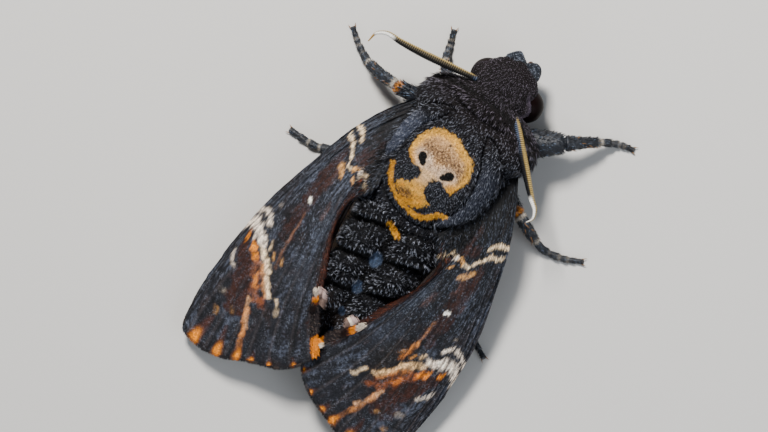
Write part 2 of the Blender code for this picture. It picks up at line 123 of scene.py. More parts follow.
def paint(base, colour, mask):
    """Lay a colour over another: all of it where the mask is 1, a share of it below."""
    mask = np.clip(mask, 0.0, 1.0)[..., None]
    return base * (1 - mask) + np.asarray(colour) * mask


def unit(vectors):
    """Vectors drawn to length 1."""
    return vectors / np.maximum(np.linalg.norm(vectors, axis=-1, keepdims=True), 1e-9)


def signed_power(value, power):
    """Power of a value's size that keeps its sign: below 1 it makes a round outline boxier."""
    return np.sign(value) * np.abs(value) ** power


def spot(x, y, at, size, turn=0.0):
    """Measure of a turned oval, 0 in its middle and 1 at its edge.

    The way from the middle, turned and divided by the two half axes, and its length taken."""
    cosine, sine = math.cos(turn), math.sin(turn)
    dx, dy = x - at[0], y - at[1]
    return np.hypot((dx * cosine + dy * sine) / size[0], (dy * cosine - dx * sine) / size[1])


def line_distance(x, y, line, closed=False):
    """Distance to a bent line, below zero inside it when it is closed.

    The least distance to any straight part; inside is where a line across x meets the outline
    an odd number of times."""
    line = np.asarray(line, float)
    ends = np.roll(line, -1, axis=0) if closed else line[1:]
    starts = line if closed else line[:-1]
    best = np.full(x.shape, 1e9)
    inside = np.zeros(x.shape, bool)
    for (from_x, from_y), (to_x, to_y) in zip(starts, ends):
        run_x, run_y = to_x - from_x, to_y - from_y
        share = ((x - from_x) * run_x + (y - from_y) * run_y) / (run_x * run_x + run_y * run_y)
        share = np.clip(share, 0, 1)
        best = np.minimum(best, np.hypot(x - from_x - share * run_x, y - from_y - share * run_y))
        if closed:
            crossing = (from_y > y) != (to_y > y)
            inside ^= crossing & (x < from_x + (y - from_y) * run_x / (run_y if run_y else 1e-9))
    return np.where(inside, -best, best)


# Meshes from arrays

def make_piece(name, points, faces, material, tint=None, uv=None):
    """Mesh object from points in millimetres and an array of faces, all of one size.

    tint is a colour for each point, uv a place for each corner of each face."""
    mesh = bpy.data.meshes.new(name)
    placed = ((points - MIDDLE) * MM).astype(np.float32)
    faces = np.asarray(faces, np.int32)
    corners = faces.shape[1]
    mesh.vertices.add(len(placed))
    mesh.vertices.foreach_set("co", placed.ravel())
    mesh.loops.add(faces.size)
    mesh.loops.foreach_set("vertex_index", faces.ravel())
    mesh.polygons.add(len(faces))
    mesh.polygons.foreach_set("loop_start", np.arange(len(faces), dtype=np.int32) * corners)
    mesh.polygons.foreach_set("use_smooth", np.ones(len(faces), bool))
    mesh.update(calc_edges=True)
    if tint is not None:
        layer = mesh.color_attributes.new(name="tint", type="FLOAT_COLOR", domain="POINT")
        colours = np.ones((len(placed), 4), np.float32)
        colours[:, :3] = np.clip(tint, 0, 1)
        layer.data.foreach_set("color", colours.ravel())
    if uv is not None:
        layer = mesh.uv_layers.new(name="OFBake")
        layer.data.foreach_set("uv", np.asarray(uv, np.float32).ravel())
    mesh.materials.append(material)
    piece = bpy.data.objects.new(name, mesh)
    bpy.context.scene.collection.objects.link(piece)
    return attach(piece, "root")


def capped(values):
    """Values on the rings of a tube as one list, with the mean of each end ring added at its end."""
    first, last = values[0].mean(0, keepdims=True), values[-1].mean(0, keepdims=True)
    return np.concatenate([first, values.reshape(-1, values.shape[-1]), last])


def closed_tube(rings):
    """Points, outward triangles and UV corners of a tube closed by a middle point at each end.

    Each square between two rings is two triangles, and each end is a fan about its middle. All
    are turned over where the tube's volume comes out below zero."""
    rows, sides = rings.shape[:2]
    points = capped(rings)
    squares = np.meshgrid(np.arange(rows - 1), np.arange(sides), indexing="ij")
    row, column = (part.ravel() for part in squares)
    above, beside = row + 1, column + 1
    near, far = 1 + row * sides + column, 1 + row * sides + beside % sides
    turn = np.arange(sides)
    start, end = 0 * turn, 0 * turn + len(points) - 1
    last = 1 + (rows - 1) * sides
    faces = np.concatenate([np.stack([near, far, far + sides], 1),
                            np.stack([near, far + sides, near + sides], 1),
                            np.stack([start, 1 + (turn + 1) % sides, 1 + turn], 1),
                            np.stack([end, last + turn, last + (turn + 1) % sides], 1)])
    grid = np.stack([column, row, beside, row, beside, above,
                     column, row, beside, above, column, above], 1).reshape(-1, 2, 3, 2)
    cap = np.stack([turn + 0.5, start, turn + 1, start, turn, start], 1).reshape(-1, 3, 2)
    tail = np.stack([turn + 0.5, start, turn, start, turn + 1, start], 1).reshape(-1, 3, 2)
    uv = np.concatenate([grid[:, 0], grid[:, 1], cap, tail + (0, rows - 1)]) / (sides, rows - 1)
    first, second, third = (points[faces[:, corner]] for corner in range(3))
    if np.sum(first * np.cross(second, third)) < 0:
        faces, uv = faces[:, ::-1], uv[:, ::-1]
    return points, faces, uv


def turns_of(sides, shift=0.0):
    """Angles of evenly spaced sides round a full turn."""
    return (np.arange(sides) + shift) * FULL / sides


def gathered(groups):
    """Arrays of several groups of tufts put end to end."""
    return [np.concatenate(parts) for parts in zip(*groups)]


def across_of(along):
    """Side and up directions across a run, the side direction level."""
    along = unit(along)
    side = unit(np.cross(along, (0.0, 0.0, 1.0)))
    return side, np.cross(side, along)


def tube_rings(path, radii, sides):
    """Rings of a tube, a circle square to the path at each of its points, none under the floor."""
    side, up = across_of(np.gradient(path, axis=0))
    angle = turns_of(sides, 0.5)
    across = (side[:, None] * np.cos(angle)[None, :, None]
              + up[:, None] * np.sin(angle)[None, :, None])
    rings = path[:, None] + across * radii[:, None, None]
    rings[..., 2] = np.maximum(rings[..., 2], 0.0)
    return rings


# Materials

def node_material(name):
    """New node material with its Principled shader."""
    material = bpy.data.materials.new(name)
    material.use_nodes = True
    return material, material.node_tree, material.node_tree.nodes["Principled BSDF"]


def new_group(name, inputs, outputs):
    """Empty shader group with float or colour sockets: (name, kind, default)."""
    group = bpy.data.node_groups.new(name, "ShaderNodeTree")
    for label, kind, value in inputs:
        socket = group.interface.new_socket(label, in_out="INPUT", socket_type=kind)
        socket.default_value = value
    for label, kind in outputs:
        group.interface.new_socket(label, in_out="OUTPUT", socket_type=kind)
    return group, group.nodes.new("NodeGroupInput"), group.nodes.new("NodeGroupOutput")


def add_node(tree, kind, values=(), **settings):
    """New shader node with some inputs' values and some settings."""
    node = tree.nodes.new("ShaderNode" + kind)
    for setting, value in settings.items():
        setattr(node, setting, value)
    for socket, value in dict(values).items():
        node.inputs[socket].default_value = value
    return node


def speckle_group():
    """Fine scales: cells 1 / Scale wide, some lifted towards a Glint colour, and their height.

    A scale is lifted by Amount where its own tone, a soft cloud and the brightness of Color are
    all high, and every scale's shade is varied by Mottle."""
    inputs = [("Color", "NodeSocketColor", (0.05, 0.05, 0.05, 1)),
              ("Glint", "NodeSocketColor", (0.3, 0.35, 0.45, 1)),
              ("Scale", "NodeSocketFloat", 4000.0), ("Amount", "NodeSocketFloat", 0.3),
              ("Mottle", "NodeSocketFloat", 0.4)]
    group, start, end = new_group("scale speckle", inputs,
                                  [("Color", "NodeSocketColor"), ("Height", "NodeSocketFloat")])
    link = group.links.new
    place = add_node(group, "TexCoord")
    cells = add_node(group, "TexVoronoi")
    tone = add_node(group, "SeparateColor")
    chosen = add_node(group, "MapRange", {"From Min": 0.62, "From Max": 1.0})
    cloud = add_node(group, "TexNoise", {"Scale": 700.0, "Detail": 3.0})
    patch = add_node(group, "MapRange", {"From Min": 0.35, "From Max": 0.70})
    depth = add_node(group, "SeparateColor")
    shown = add_node(group, "MapRange", {"From Max": 0.014, "To Min": 0.1})
    link(place.outputs["Object"], cells.inputs["Vector"])
    link(start.outputs["Scale"], cells.inputs["Scale"])
    link(cells.outputs["Color"], tone.inputs["Color"])
    link(tone.outputs["Red"], chosen.inputs["Value"])
    link(place.outputs["Object"], cloud.inputs["Vector"])
    link(cloud.outputs["Fac"], patch.inputs["Value"])
    link(start.outputs["Color"], depth.inputs["Color"])
    link(depth.outputs["Green"], shown.inputs["Value"])
    strength = chosen.outputs["Result"]
    for factor in (patch.outputs["Result"], start.outputs["Amount"], shown.outputs["Result"]):
        product = add_node(group, "Math", operation="MULTIPLY")
        link(strength, product.inputs[0])
        link(factor, product.inputs[1])
        strength = product.outputs["Value"]
    lit = add_node(group, "Mix", data_type="RGBA")
    link(strength, lit.inputs["Factor"])
    link(start.outputs["Color"], lit.inputs["A"])
    link(start.outputs["Glint"], lit.inputs["B"])
    shade = add_node(group, "MapRange", {"To Min": 0.55, "To Max": 1.45})
    varied = add_node(group, "Mix", data_type="RGBA", blend_type="MULTIPLY")
    link(tone.outputs["Green"], shade.inputs["Value"])
    link(start.outputs["Mottle"], varied.inputs["Factor"])
    link(lit.outputs["Result"], varied.inputs["A"])
    link(shade.outputs["Result"], varied.inputs["B"])
    link(varied.outputs["Result"], end.inputs["Color"])
    link(cells.outputs["Distance"], end.inputs["Height"])
    return group


SPECKLE = speckle_group()


def scaled_material(name, glint, scale, amount, mottle, roughness, bump, specular=0.5):
    """Tint attribute broken up by fine scales, scale of them to the metre, with their relief."""
    material, tree, surface = node_material(name)
    tint = add_node(tree, "Attribute", attribute_name="tint")
    scales = add_node(tree, "Group", node_tree=SPECKLE)
    scales.inputs["Glint"].default_value = (*glint, 1)
    scales.inputs["Scale"].default_value = scale
    scales.inputs["Amount"].default_value = amount
    scales.inputs["Mottle"].default_value = mottle
    relief = add_node(tree, "Bump", {"Strength": bump, "Distance": 0.00012}, invert=True)
    tree.links.new(tint.outputs["Color"], scales.inputs["Color"])
    tree.links.new(scales.outputs["Color"], surface.inputs["Base Color"])
    tree.links.new(scales.outputs["Height"], relief.inputs["Height"])
    tree.links.new(relief.outputs["Normal"], surface.inputs["Normal"])
    surface.inputs["Roughness"].default_value = roughness
    surface.inputs["Specular IOR Level"].default_value = specular
    return material


# Glint, scales to the metre, amount, mottle, roughness, bump and specular level
SKIN = scaled_material("body_skin", (0.10, 0.10, 0.13), 5200.0, 0.15, 0.6, 0.8, 0.5, 0.2)
COAT = scaled_material("body_coat", (0.30, 0.30, 0.36), 6500.0, 0.05, 0.3, 0.5, 0.0, 0.35)
WING = scaled_material("wing_scales", (0.34, 0.38, 0.47), 5600.0, 0.22, 0.9, 0.62, 0.6, 0.22)
HINDWING = scaled_material("hindwing_scales", (0.5, 0.4, 0.2), 4300.0, 0.12, 0.5, 0.65, 0.5)
LEG = scaled_material("leg_scales", (0.30, 0.36, 0.46), 5200.0, 0.30, 0.6, 0.5, 0.5)
FEELER = scaled_material("feeler_horn", (0.5, 0.45, 0.3), 7000.0, 0.05, 0.35, 0.5, 0.2, 0.2)


# Body: one skin from face to tail

# Each part of the body by y, half width, top, bottom
HEAD = [(-21.9, 3.6, 9.4, 5.4), (-20.3, 4.6, 10.3, 4.6), (-18.2, 5.6, 11.2, 3.8),
        (-16.2, 5.8, 11.6, 3.3), (-14.0, 5.6, 11.8, 3.4), (-11.0, 6.6, 12.6, 3.6)]
COLLAR = [(-15.2, 7.6, 11.6, 4.8), (-12.6, 9.9, 12.4, 4.2), (-9.8, 11.4, 13.0, 3.6),
          (-6.8, 11.6, 13.2, 3.2), (-4.0, 10.0, 13.2, 3.0)]
THORAX = [(-13.5, 6.6, 12.2, 4.4), (-12.0, 8.2, 13.0, 3.8), (-9.5, 9.2, 14.4, 3.2),
          (-6.0, 9.5, 15.7, 2.8), (0.0, 9.8, 16.5, 2.6), (5.0, 9.3, 15.7, 2.8),
          (9.0, 8.6, 13.9, 3.1), (12.6, 7.6, 12.2, 3.6)]
ABDOMEN = [(10.0, 8.0, 11.8, 3.4), (14.0, 8.8, 12.0, 2.5), (19.0, 8.3, 11.6, 1.9),
           (24.0, 7.2, 10.6, 1.6), (29.0, 5.6, 9.0, 1.4), (33.5, 3.8, 7.0, 1.6),
           (37.6, 2.0, 5.4, 2.4)]
WAIST = [(5.5, 8.0, 12.6, 3.6), (9.0, 8.7, 12.0, 3.3), (12.0, 8.8, 11.7, 3.0), (16.5, 8.4, 11.4, 2.8)]
# Height of the body's axis by y
AXIS = [(-22.0, 7.2), (-14.0, 7.3), (-6.0, 8.6), (2.0, 8.8), (10.0, 7.7), (19.0, 6.2),
        (29.0, 4.8), (38.0, 3.7)]
# Each part's outline, how bluntly its ends close, and how sharply the parts meet
BODY_PARTS = ((HEAD, 3.4), (COLLAR, 3.0), (THORAX, 5.0), (WAIST, 4.0), (ABDOMEN, 6.0))
UNION = 9
# Power that makes the body's ovals blunt, and how far in mm the skin lies within the outlines
BOXY = 0.92
COAT_DEPTH = 0.5
FACE_Y, TAIL_Y = -21.5, 37.2
EYE_CENTRES = (np.array([3.95, -16.25, 6.3]), np.array([-4.25, -16.1, 6.3]))
# Height from which the head's skin covers each eye, and how that height falls to the front
EYE_COVER = (7.8, 8.75)
COVER_SLOPE, COVER_Y = 0.22, 16.7
EYE_RADIUS, EYE_LID = 2.85, 0.16


def part_reach(profile, blunt, y):
    """Half width, top, bottom and closing of one body part at y.

    The ends close as a rounded box does: by the root of 1 less the reach to a blunt power."""
    table = np.array(profile)
    middle, half_length = (table[0, 0] + table[-1, 0]) / 2, (table[-1, 0] - table[0, 0]) / 2
    reach = np.abs(y - middle) / half_length
    close = np.sqrt(np.maximum(1 - reach ** blunt, 0.0))
    half, top, bottom = smooth_values(table[:, 0], table[:, 1:], y).T
    centre = bottom + 0.45 * (top - bottom)
    return half * close, centre + (top - centre) * close, centre - (centre - bottom) * close, close


def axis_height(y):
    """Height of the body's axis at y."""
    table = np.array(AXIS)
    return smooth_values(table[:, 0], table[:, 1], y)


def body_reach(y):
    """Half width, rise and fall about the body's axis at y: the soft union of its parts.

    Each is the ninth root of the parts' ninth powers added up, with the coat's depth taken off."""
    axis = axis_height(y)
    total = np.zeros((3, len(y)))
    for profile, blunt in BODY_PARTS:
        half, top, bottom, close = part_reach(profile, blunt, y)
        gains = np.maximum([half, top - axis, axis - bottom], 0.0) * (close > 0)
        total += np.maximum(gains - COAT_DEPTH, 0.0) ** UNION
    half, rise, fall = total ** (1 / UNION)
    return half, rise, fall, axis


# Outlines of the shoulder plates and rear edge of the disc, by x and y
PLATE_LEFT = [(3.6, -9.2), (5.6, -8.8), (7.8, -7.0), (9.6, -4.0), (10.6, -0.6), (10.5, 2.2),
              (9.6, 3.9), (8.4, 3.9), (7.4, 2.4), (6.9, 0.0), (6.7, -2.4), (5.9, -4.6), (4.6, -6.6)]
PLATE_RIGHT = [(-3.6, -9.0), (-5.6, -8.6), (-7.8, -7.0), (-9.4, -4.4), (-9.9, -1.4), (-9.6, 2.2),
               (-8.2, 5.2), (-6.2, 7.2), (-4.6, 7.9), (-5.0, 6.6), (-6.4, 4.6), (-7.0, 2.0), (-6.8, -1.0),
               (-6.0, -4.0), (-4.8, -6.4)]
DISC_REAR = [(9.4, 4.2), (8.0, 6.4), (5.6, 8.4), (2.6, 9.6), (-0.6, 10.0), (-3.8, 9.3), (-6.6, 7.4)]


def plate_edge(x, y):
    """Distance to the edge of the nearer shoulder plate, below zero on the plate."""
    return np.minimum(line_distance(x, y, PLATE_LEFT, True), line_distance(x, y, PLATE_RIGHT, True))


def bell(value, half):
    """Bell curve: 1 where the value is 0, about a third where it is half."""
    return np.exp(-(value / half) ** 2)


def thorax_creases(x, y):
    """1 in the creases about the shoulder plates, behind the disc and before the collar.

    Each crease is a bell curve of the distance to its line; the one about the plates is left
    out where the skull's arc runs over it."""
    plates = bell(plate_edge(x, y) - 0.10, 0.30)
    plates = plates * ease(spot(x, y, (-5.3, 5.9), (1.3, 0.9)), 0.6, 1.3)
    rear = bell(line_distance(x, y, DISC_REAR), 0.42)
    collar = 0.8 * bell(y + 10.4 + 0.02 * x * x, 0.40) * ease(6.5 - np.abs(x), 0, 2)
    neck = bell(y + 13.3 - 0.02 * x * x, 0.50)
    return np.maximum(np.maximum(plates, rear), np.maximum(collar, neck))


def thorax_lift(x, y, upper):
    """Relief of the thorax's top: shoulder plates 0.65 mm up, creases about them 0.85 mm down."""
    raised = ease(-plate_edge(x, y), -0.1, 1.0)
    return upper * (0.65 * raised - 0.85 * thorax_creases(x, y))


# Where each ring of the abdomen ends along its middle
RING_ENDS = [0.0, 6.0, 12.2, 18.4, 24.8, 29.8, 33.6, 36.8, 40.0]


def ring_part(x, y, upper):
    """Share of the way along a ring of the abdomen: what is left of the count of rings up to y.

    The rings lie askew across its back, 0.42 mm further along for each mm across."""
    return np.mod(np.interp(y - 0.42 * x * upper, RING_ENDS, np.arange(len(RING_ENDS))), 1.0)


def abdomen_lift(x, y, angle):
    """Relief of the abdomen: rings that swell to their rear, with a lobe each side of the back."""
    upper = ease(np.sin(angle), -0.2, 0.5)
    ring = ring_part(x, y, upper)
    swell = ease(ring, 0.0, 0.45) * (1 - ease(ring, 0.74, 1.0))
    lobe = 0.12 + 0.88 * ease(np.abs(x + 0.2), 0.6, 2.9) * (1 - 0.6 * ease(np.abs(x), 5.0, 8.2))
    lobe = lobe * (1 + 0.25 * wave_noise(x, y, 3.5, 5))
    lift = 2.3 * swell * lobe * upper + 0.3 * swell * (1 - upper) - 0.7
    return lift * ease(y, 10.5, 13.0) * (1 - ease(y, 33, 37))


def over_cover(y, z, cover):
    """Height over the slanting edge of the skin that covers an eye."""
    return z + COVER_SLOPE * (y + COVER_Y) - cover


def eye_cap(points, axis):
    """Skin drawn out over the top of each eye.

    Points move away from the body's axis until they meet a ball a little wider than the eye."""
    middle = np.stack([np.zeros_like(axis), points[..., 1], axis], -1)
    ray = points - middle
    reach = np.linalg.norm(ray, axis=-1)
    ray = ray / np.maximum(reach, 1e-6)[..., None]
    for centre, cover in zip(EYE_CENTRES, EYE_COVER):
        towards = centre - middle
        nearest = np.sum(ray * towards, -1)
        inside = (EYE_RADIUS + EYE_LID) ** 2 - (np.sum(towards ** 2, -1) - nearest ** 2)
        hit = nearest + np.sqrt(np.maximum(inside, 0.0))
        level = (middle + ray * hit[..., None])[..., 2]
        over = ease(over_cover(points[..., 1], level, cover), 0.0, 0.25) * (inside > 0)
        reach = np.where(hit > reach, reach + (hit - reach) * over, reach)
    return middle + ray * reach[..., None]


def head_lift(x, y, z):
    """Relief of the head: a low crown, one hump across times one along."""
    lift = 0.35 * hump(np.abs(x), 0.0, 2.2) * hump(y, -17.5, 3.5) * ease(z, 9, 10.5)
    return lift * (1 - ease(y, -13.5, -12))


def body_skin(y, angle):
    """Skin at y and angle (0 at its left side, a quarter turn on top).

    A blunt oval about the body's axis, wide as the half width and high as rise and fall,
    moved outwards by the relief of thorax, abdomen and head."""
    half, rise, fall, axis = body_reach(y)
    sideways, upwards = np.cos(angle), np.sin(angle)
    height = np.where(upwards > 0, rise, fall)
    level = signed_power(upwards, BOXY)
    x = half * signed_power(sideways, BOXY)
    z = axis + height * level
    out = unit(np.stack([sideways * np.maximum(height, 0.1), np.zeros_like(x),
                         upwards * np.maximum(half, 0.1)], -1))
    points = np.stack([x, y, z], -1)
    lift = thorax_lift(x, y, ease(level, 0.0, 0.5) * (1 - ease(y, 9, 12)) * ease(y, -14, -11.5))
    lift = lift + abdomen_lift(x, y, angle) + head_lift(x, y, z)
    lift = lift + 0.06 * wave_noise(x + 1.7 * z, y, 1.3, 3)
    near_end = ease(np.minimum(y - FACE_Y, TAIL_Y - y), 0.0, 1.5)
    return eye_cap(points + out * (lift * near_end)[..., None], axis)


def body_normals(y, angle):
    """Outward normals and lengthwise directions of the skin, from places a small step away."""
    step, turn = 0.03, 0.006
    ahead, behind = body_skin(y + step, angle), body_skin(y - step, angle)
    left, right = body_skin(y, angle + turn), body_skin(y, angle - turn)
    along = unit(ahead - behind)
    out = unit(np.cross(left - right, along))
    middle = np.stack([np.zeros_like(y), y, axis_height(y)], -1)
    flip = np.sign(np.sum(out * (left - middle), -1))
    return out * flip[..., None], along


# Markings of the body

ORANGE, GOLD = hue(250, 180, 52), hue(250, 192, 84)
CREAM, LILAC = hue(246, 208, 158), hue(250, 222, 194)
BLACK, BLUE_BLACK = hue(18, 17, 21), hue(33, 36, 46)
PURPLE_BLACK = hue(29, 22, 24)
BONE, BONE_GREY, CHIN_GREY = hue(246, 198, 140), hue(128, 98, 78), hue(136, 106, 84)
# The plates' slate carries a painted sheen, and the brows' mauve a painted highlight along their rims
PLATE_BLUE_AND_SHEEN, BROW_MAUVE_AND_HIGHLIGHT = hue(94, 102, 124), hue(100, 88, 106)
BACK_BLACK, PATCH_BLUE, TAIL_BROWN = hue(20, 21, 27), hue(84, 102, 132), hue(58, 47, 42)
FLANK_YELLOW, BELLY_OCHRE, CHEST_BROWN = hue(196, 148, 62), hue(190, 146, 70), hue(92, 70, 48)

# Skull mark by x and y: outlines of its round top and its muzzle, and the arc of its jaws
CRANIUM = [(3.9, -5.3), (4.8, -4.1), (5.6, -2.5), (5.7, -1.1), (5.5, 0.2), (4.7, 0.9), (3.6, 1.5),
           (2.2, 1.5), (0.7, 1.8), (-0.9, 1.8), (-2.2, 1.2), (-3.6, 1.8), (-4.6, 2.0), (-5.0, 0.9),
           (-5.5, -0.4), (-5.7, -1.6), (-5.4, -2.8), (-4.6, -4.2), (-3.6, -5.2), (-3.0, -4.9),
           (-2.3, -5.3), (-0.4, -6.2), (1.2, -6.2), (2.9, -5.9)]
MUZZLE = [(1.4, 1.0), (1.3, 2.6), (2.2, 4.3), (3.6, 4.7), (4.2, 5.6), (3.4, 6.8), (2.2, 7.6),
          (0.7, 8.1), (-0.7, 7.6), (-1.9, 6.7), (-2.7, 5.4), (-1.0, 4.3), (-0.5, 3.0), (-1.0, 1.2)]
JAWS = [(6.5, 3.7), (5.8, 5.2), (4.6, 6.7), (3.0, 7.6), (1.6, 8.1), (0.2, 8.3), (-1.2, 8.5),
        (-2.6, 8.1), (-3.6, 7.3), (-4.4, 6.4), (-4.9, 5.8), (-5.6, 5.6)]


def skull_grey(x, y):
    """1 in the brown-grey band across the brow of the pale mark and on its chin."""
    brow = bell(y + 2.35 - 0.03 * x * x, 1.35) * (1 - ease(np.abs(x + 0.4), 3.6, 4.7))
    return np.maximum(brow, 1 - ease(spot(x, y, (1.9, 6.2), (1.7, 0.95), 0.25), 0.5, 1.15))


def skull_face(x, y, rough):
    """Colours and mask of the skull's round top: gold rim, cream face, grey brow, pale sockets."""
    cranium = line_distance(x, y, CRANIUM, True) + rough
    grey = skull_grey(x, y) * (0.55 + 0.45 * wave_noise(x, y, 0.45, 23))
    sockets = np.minimum(spot(x, y, (2.5, 0.0), (2.0, 1.6)), spot(x, y, (-2.4, 0.1), (2.0, 1.6)))
    low_rim = ease(y, -0.6, 1.2) * ease(np.abs(x), 2.6, 4.0)
    face = paint(plain(GOLD, x), BONE, ease(-cranium, 0.8, 1.9))
    face = paint(face, BONE_GREY, grey)
    face = paint(face, LILAC, (1 - ease(sockets, 0.55, 1.35)) * 0.9)
    face = paint(face, LILAC, hump(x, 0.2, 2.2) * hump(y, 0.6, 1.8) * 0.8)
    return paint(face, ORANGE, low_rim * 0.85), ease(-cranium, -0.12, 0.28)


def skull_chin(x, y, rough):
    """Colours and mask of the skull's muzzle: cream running through gold to an orange chin."""
    muzzle = line_distance(x, y, MUZZLE, True) + rough
    grey = skull_grey(x, y) * (y > 4) * (0.55 + 0.45 * wave_noise(x, y, 0.4, 25))
    chin = paint(plain(CREAM, x), GOLD, ease(y, 2.0, 4.4))
    chin = paint(chin, ORANGE, ease(y + 1.2 * wave_noise(x, y, 1.2, 24), 4.6, 7.0))
    return paint(chin, CHIN_GREY, grey), ease(-muzzle, -0.12, 0.25)


def skull_tint(base, x, y):
    """The pale mark of the back laid over a base colour: face, chin, jaws, cheeks and eye spots."""
    rough = 0.20 * wave_noise(x, y, 0.9, 21) + 0.10 * wave_noise(x, y, 0.4, 22)
    jaws = line_distance(x, y, JAWS) + 0.8 * rough
    result = paint(base, *skull_face(x, y, rough))
    result = paint(result, *skull_chin(x, y, rough))
    result = paint(result, ORANGE, 1 - ease(jaws, 0.34, 0.58))
    for middle, size, turn in (((3.3, 3.0), (1.55, 1.25), 0.5), ((-2.7, 3.5), (1.75, 1.75), 0.0)):
        cheek = spot(x, y, middle, size, turn) + 0.5 * rough
        result = paint(result, BLUE_BLACK * 0.7, 1 - ease(cheek, 0.82, 1.12))
    for side, turn in ((1, -0.87), (-1, 0.75)):
        dot = np.minimum(spot(x, y, (side * 2.45, 0.02), (1.12, 0.58), turn),
                         spot(x, y, (side * 2.72, -0.3), (0.88, 0.80), turn))
        result = paint(result, BLACK * 0.2, 1 - ease(dot + 0.2 * rough, 0.95, 1.08))
    dot = spot(x, y, (0.1, -4.4), (0.24, 0.3))
    return paint(result, BLACK, 0.8 * (1 - ease(dot, 0.7, 1.2)))


# Middle and half length of each blue-grey patch on the abdomen, and the ends of its orange bar
MEDIAN_PATCHES = ((18.7, 1.45), (24.3, 1.3), (29.4, 0.9), (33.4, 0.7))
ABDOMEN_BAR = [(1.40, 12.4), (-0.80, 13.4)]


def median_patch(x, y):
    """1 on the smooth blue-grey patches along the middle of the abdomen."""
    patches = np.zeros(x.shape)
    for place, half in MEDIAN_PATCHES:
        patches = np.maximum(patches, 1 - ease(spot(x, y, (-0.2, place), (0.8 * half, half)), 0.8, 1.1))
    return patches


def abdomen_tint(x, y, up, cloud, grain):
    """Colours of the abdomen ring by ring, up being how far the skin faces up.

    Dark gaps between the rings, yellow bands on the flanks, a browner tail, an ochre belly, and
    blue-grey patches and an orange bar on the back."""
    upper = ease(up, -0.1, 0.4)
    ring = ring_part(x, y, upper)
    gap = 1 - ease(ring, 0.02, 0.30) * (1 - ease(ring, 0.80, 0.95))
    gap = np.maximum(gap, 0.75 * upper * hump(x, -0.2, 1.3))
    back = plain(BACK_BLACK, x) * (1 + 0.3 * grain)[..., None] * (1 - 0.88 * gap)[..., None]
    band = 1 - ease(np.abs(ring - 0.42), 0.18, 0.34)
    flank = band * (1 - ease(up + 0.5 * ease(y, 22, 27), -0.25, 0.0))
    back = paint(back, FLANK_YELLOW, 0.85 * flank)
    back = paint(back, TAIL_BROWN, ease(y + 0.8 * cloud, 27.5, 30) * ease(up, -0.25, 0.0) * 0.8)
    under = ease(-up, 0.0, 0.6)
    back = paint(back, BELLY_OCHRE, under * (0.35 + 0.5 * band))
    back = paint(back, PATCH_BLUE * (1 + 0.3 * grain)[..., None], 0.9 * median_patch(x, y) * (1 - under))
    bar = line_distance(x, y, ABDOMEN_BAR)
    return paint(back, ORANGE, (1 - ease(bar + 0.2 * grain, 0.42, 0.64)) * (1 - under))


def body_tint(points, out):
    """Colour of skin and coat at points with outward normals: the markings of the whole body.

    Purple-black towards the head and blue-black behind it, slate shoulder plates with a painted
    sheen, the right one painted darker as shade, mauve brows over the eyes with a painted highlight
    along their rims, stronger over the right eye, painted shade in the creases, the skull mark,
    then the abdomen and a brown chest."""
    x, y, z = points[..., 0], points[..., 1], points[..., 2]
    up = out[..., 2]
    cloud = wave_noise(x + 0.6 * z, y, 3.0, 31)
    grain = wave_noise(x + 0.6 * z, y, 0.7, 32)
    base = plain(PURPLE_BLACK, x) * (1 + 0.25 * grain)[..., None]
    base = paint(base, BLUE_BLACK, ease(y, -11, -4) * (0.75 + 0.25 * cloud))
    top = ease(up, 0.05, 0.35) * ease(z, 8.0, 10.0)
    # Slate plates with a painted sheen; the right plate is painted darker as shade
    plates = ease(-plate_edge(x, y), -0.1, 0.4) * top * (0.42 + 0.58 * ease(x)) * ease(y, -7.0, -2.5)
    base = paint(base, PLATE_BLUE_AND_SHEEN, plates)
    # Mauve brows with a painted highlight along the rim over each eye, stronger over the right eye
    for centre, cover, strength in zip(EYE_CENTRES, EYE_COVER, (0.3, 0.8)):
        away = np.linalg.norm(points - centre, axis=-1)
        brow = hump(over_cover(y, z, cover), 0.25, 0.42) * (1 - ease(away, 3.3, 4.0))
        base = paint(base, BROW_MAUVE_AND_HIGHLIGHT, strength * 0.85 * brow)
    # Painted shade in the creases of the thorax's top
    base = base * (1 - 0.72 * thorax_creases(x, y) * top * (1 - ease(y, 10, 12)))[..., None]
    base = paint(base, skull_tint(base, x, y), top * (y > -8) * (y < 9.6))
    belly = ease(y, 10.0, 12.5)
    base = paint(base, abdomen_tint(x, y, up, cloud, grain), belly)
    chest = ease(-up, 0.1, 0.7) * ease(y, -13, -9) * (1 - belly) * (1 - ease(z, 5, 8))
    return paint(base, CHEST_BROWN, 0.6 * chest)


BODY_ROWS, BODY_TURNS = 300, 256
spread = np.linspace(0.0, 1.0, BODY_ROWS)
spread = np.cumsum(np.minimum(1.0, np.minimum(spread, 1 - spread) / 0.05) + 0.02)
body_y = FACE_Y + (TAIL_Y - FACE_Y) * (spread - spread[0]) / (spread[-1] - spread[0])
body_turn = turns_of(BODY_TURNS) - math.pi / 2
grid_y, grid_turn = (part.ravel() for part in np.meshgrid(body_y, body_turn, indexing="ij"))
grid_shape = (BODY_ROWS, BODY_TURNS, 3)
skin = body_skin(grid_y, grid_turn)
skin_out, _ = body_normals(grid_y, grid_turn)
skin_tint = body_tint(skin, skin_out)
# The skin under the coat is painted darker, most where it is dark: painted shade among the hairs
skin_tint = skin_tint * (0.5 + 0.35 * ease(skin_tint.sum(-1), 0.4, 0.8))[:, None]
points, faces, uv = closed_tube(skin.reshape(grid_shape))
body = make_piece("body", points, faces, SKIN, capped(skin_tint.reshape(grid_shape)), uv)
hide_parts("head", "thorax", "abdomen", "tegula_left", "tegula_right")


# Wings

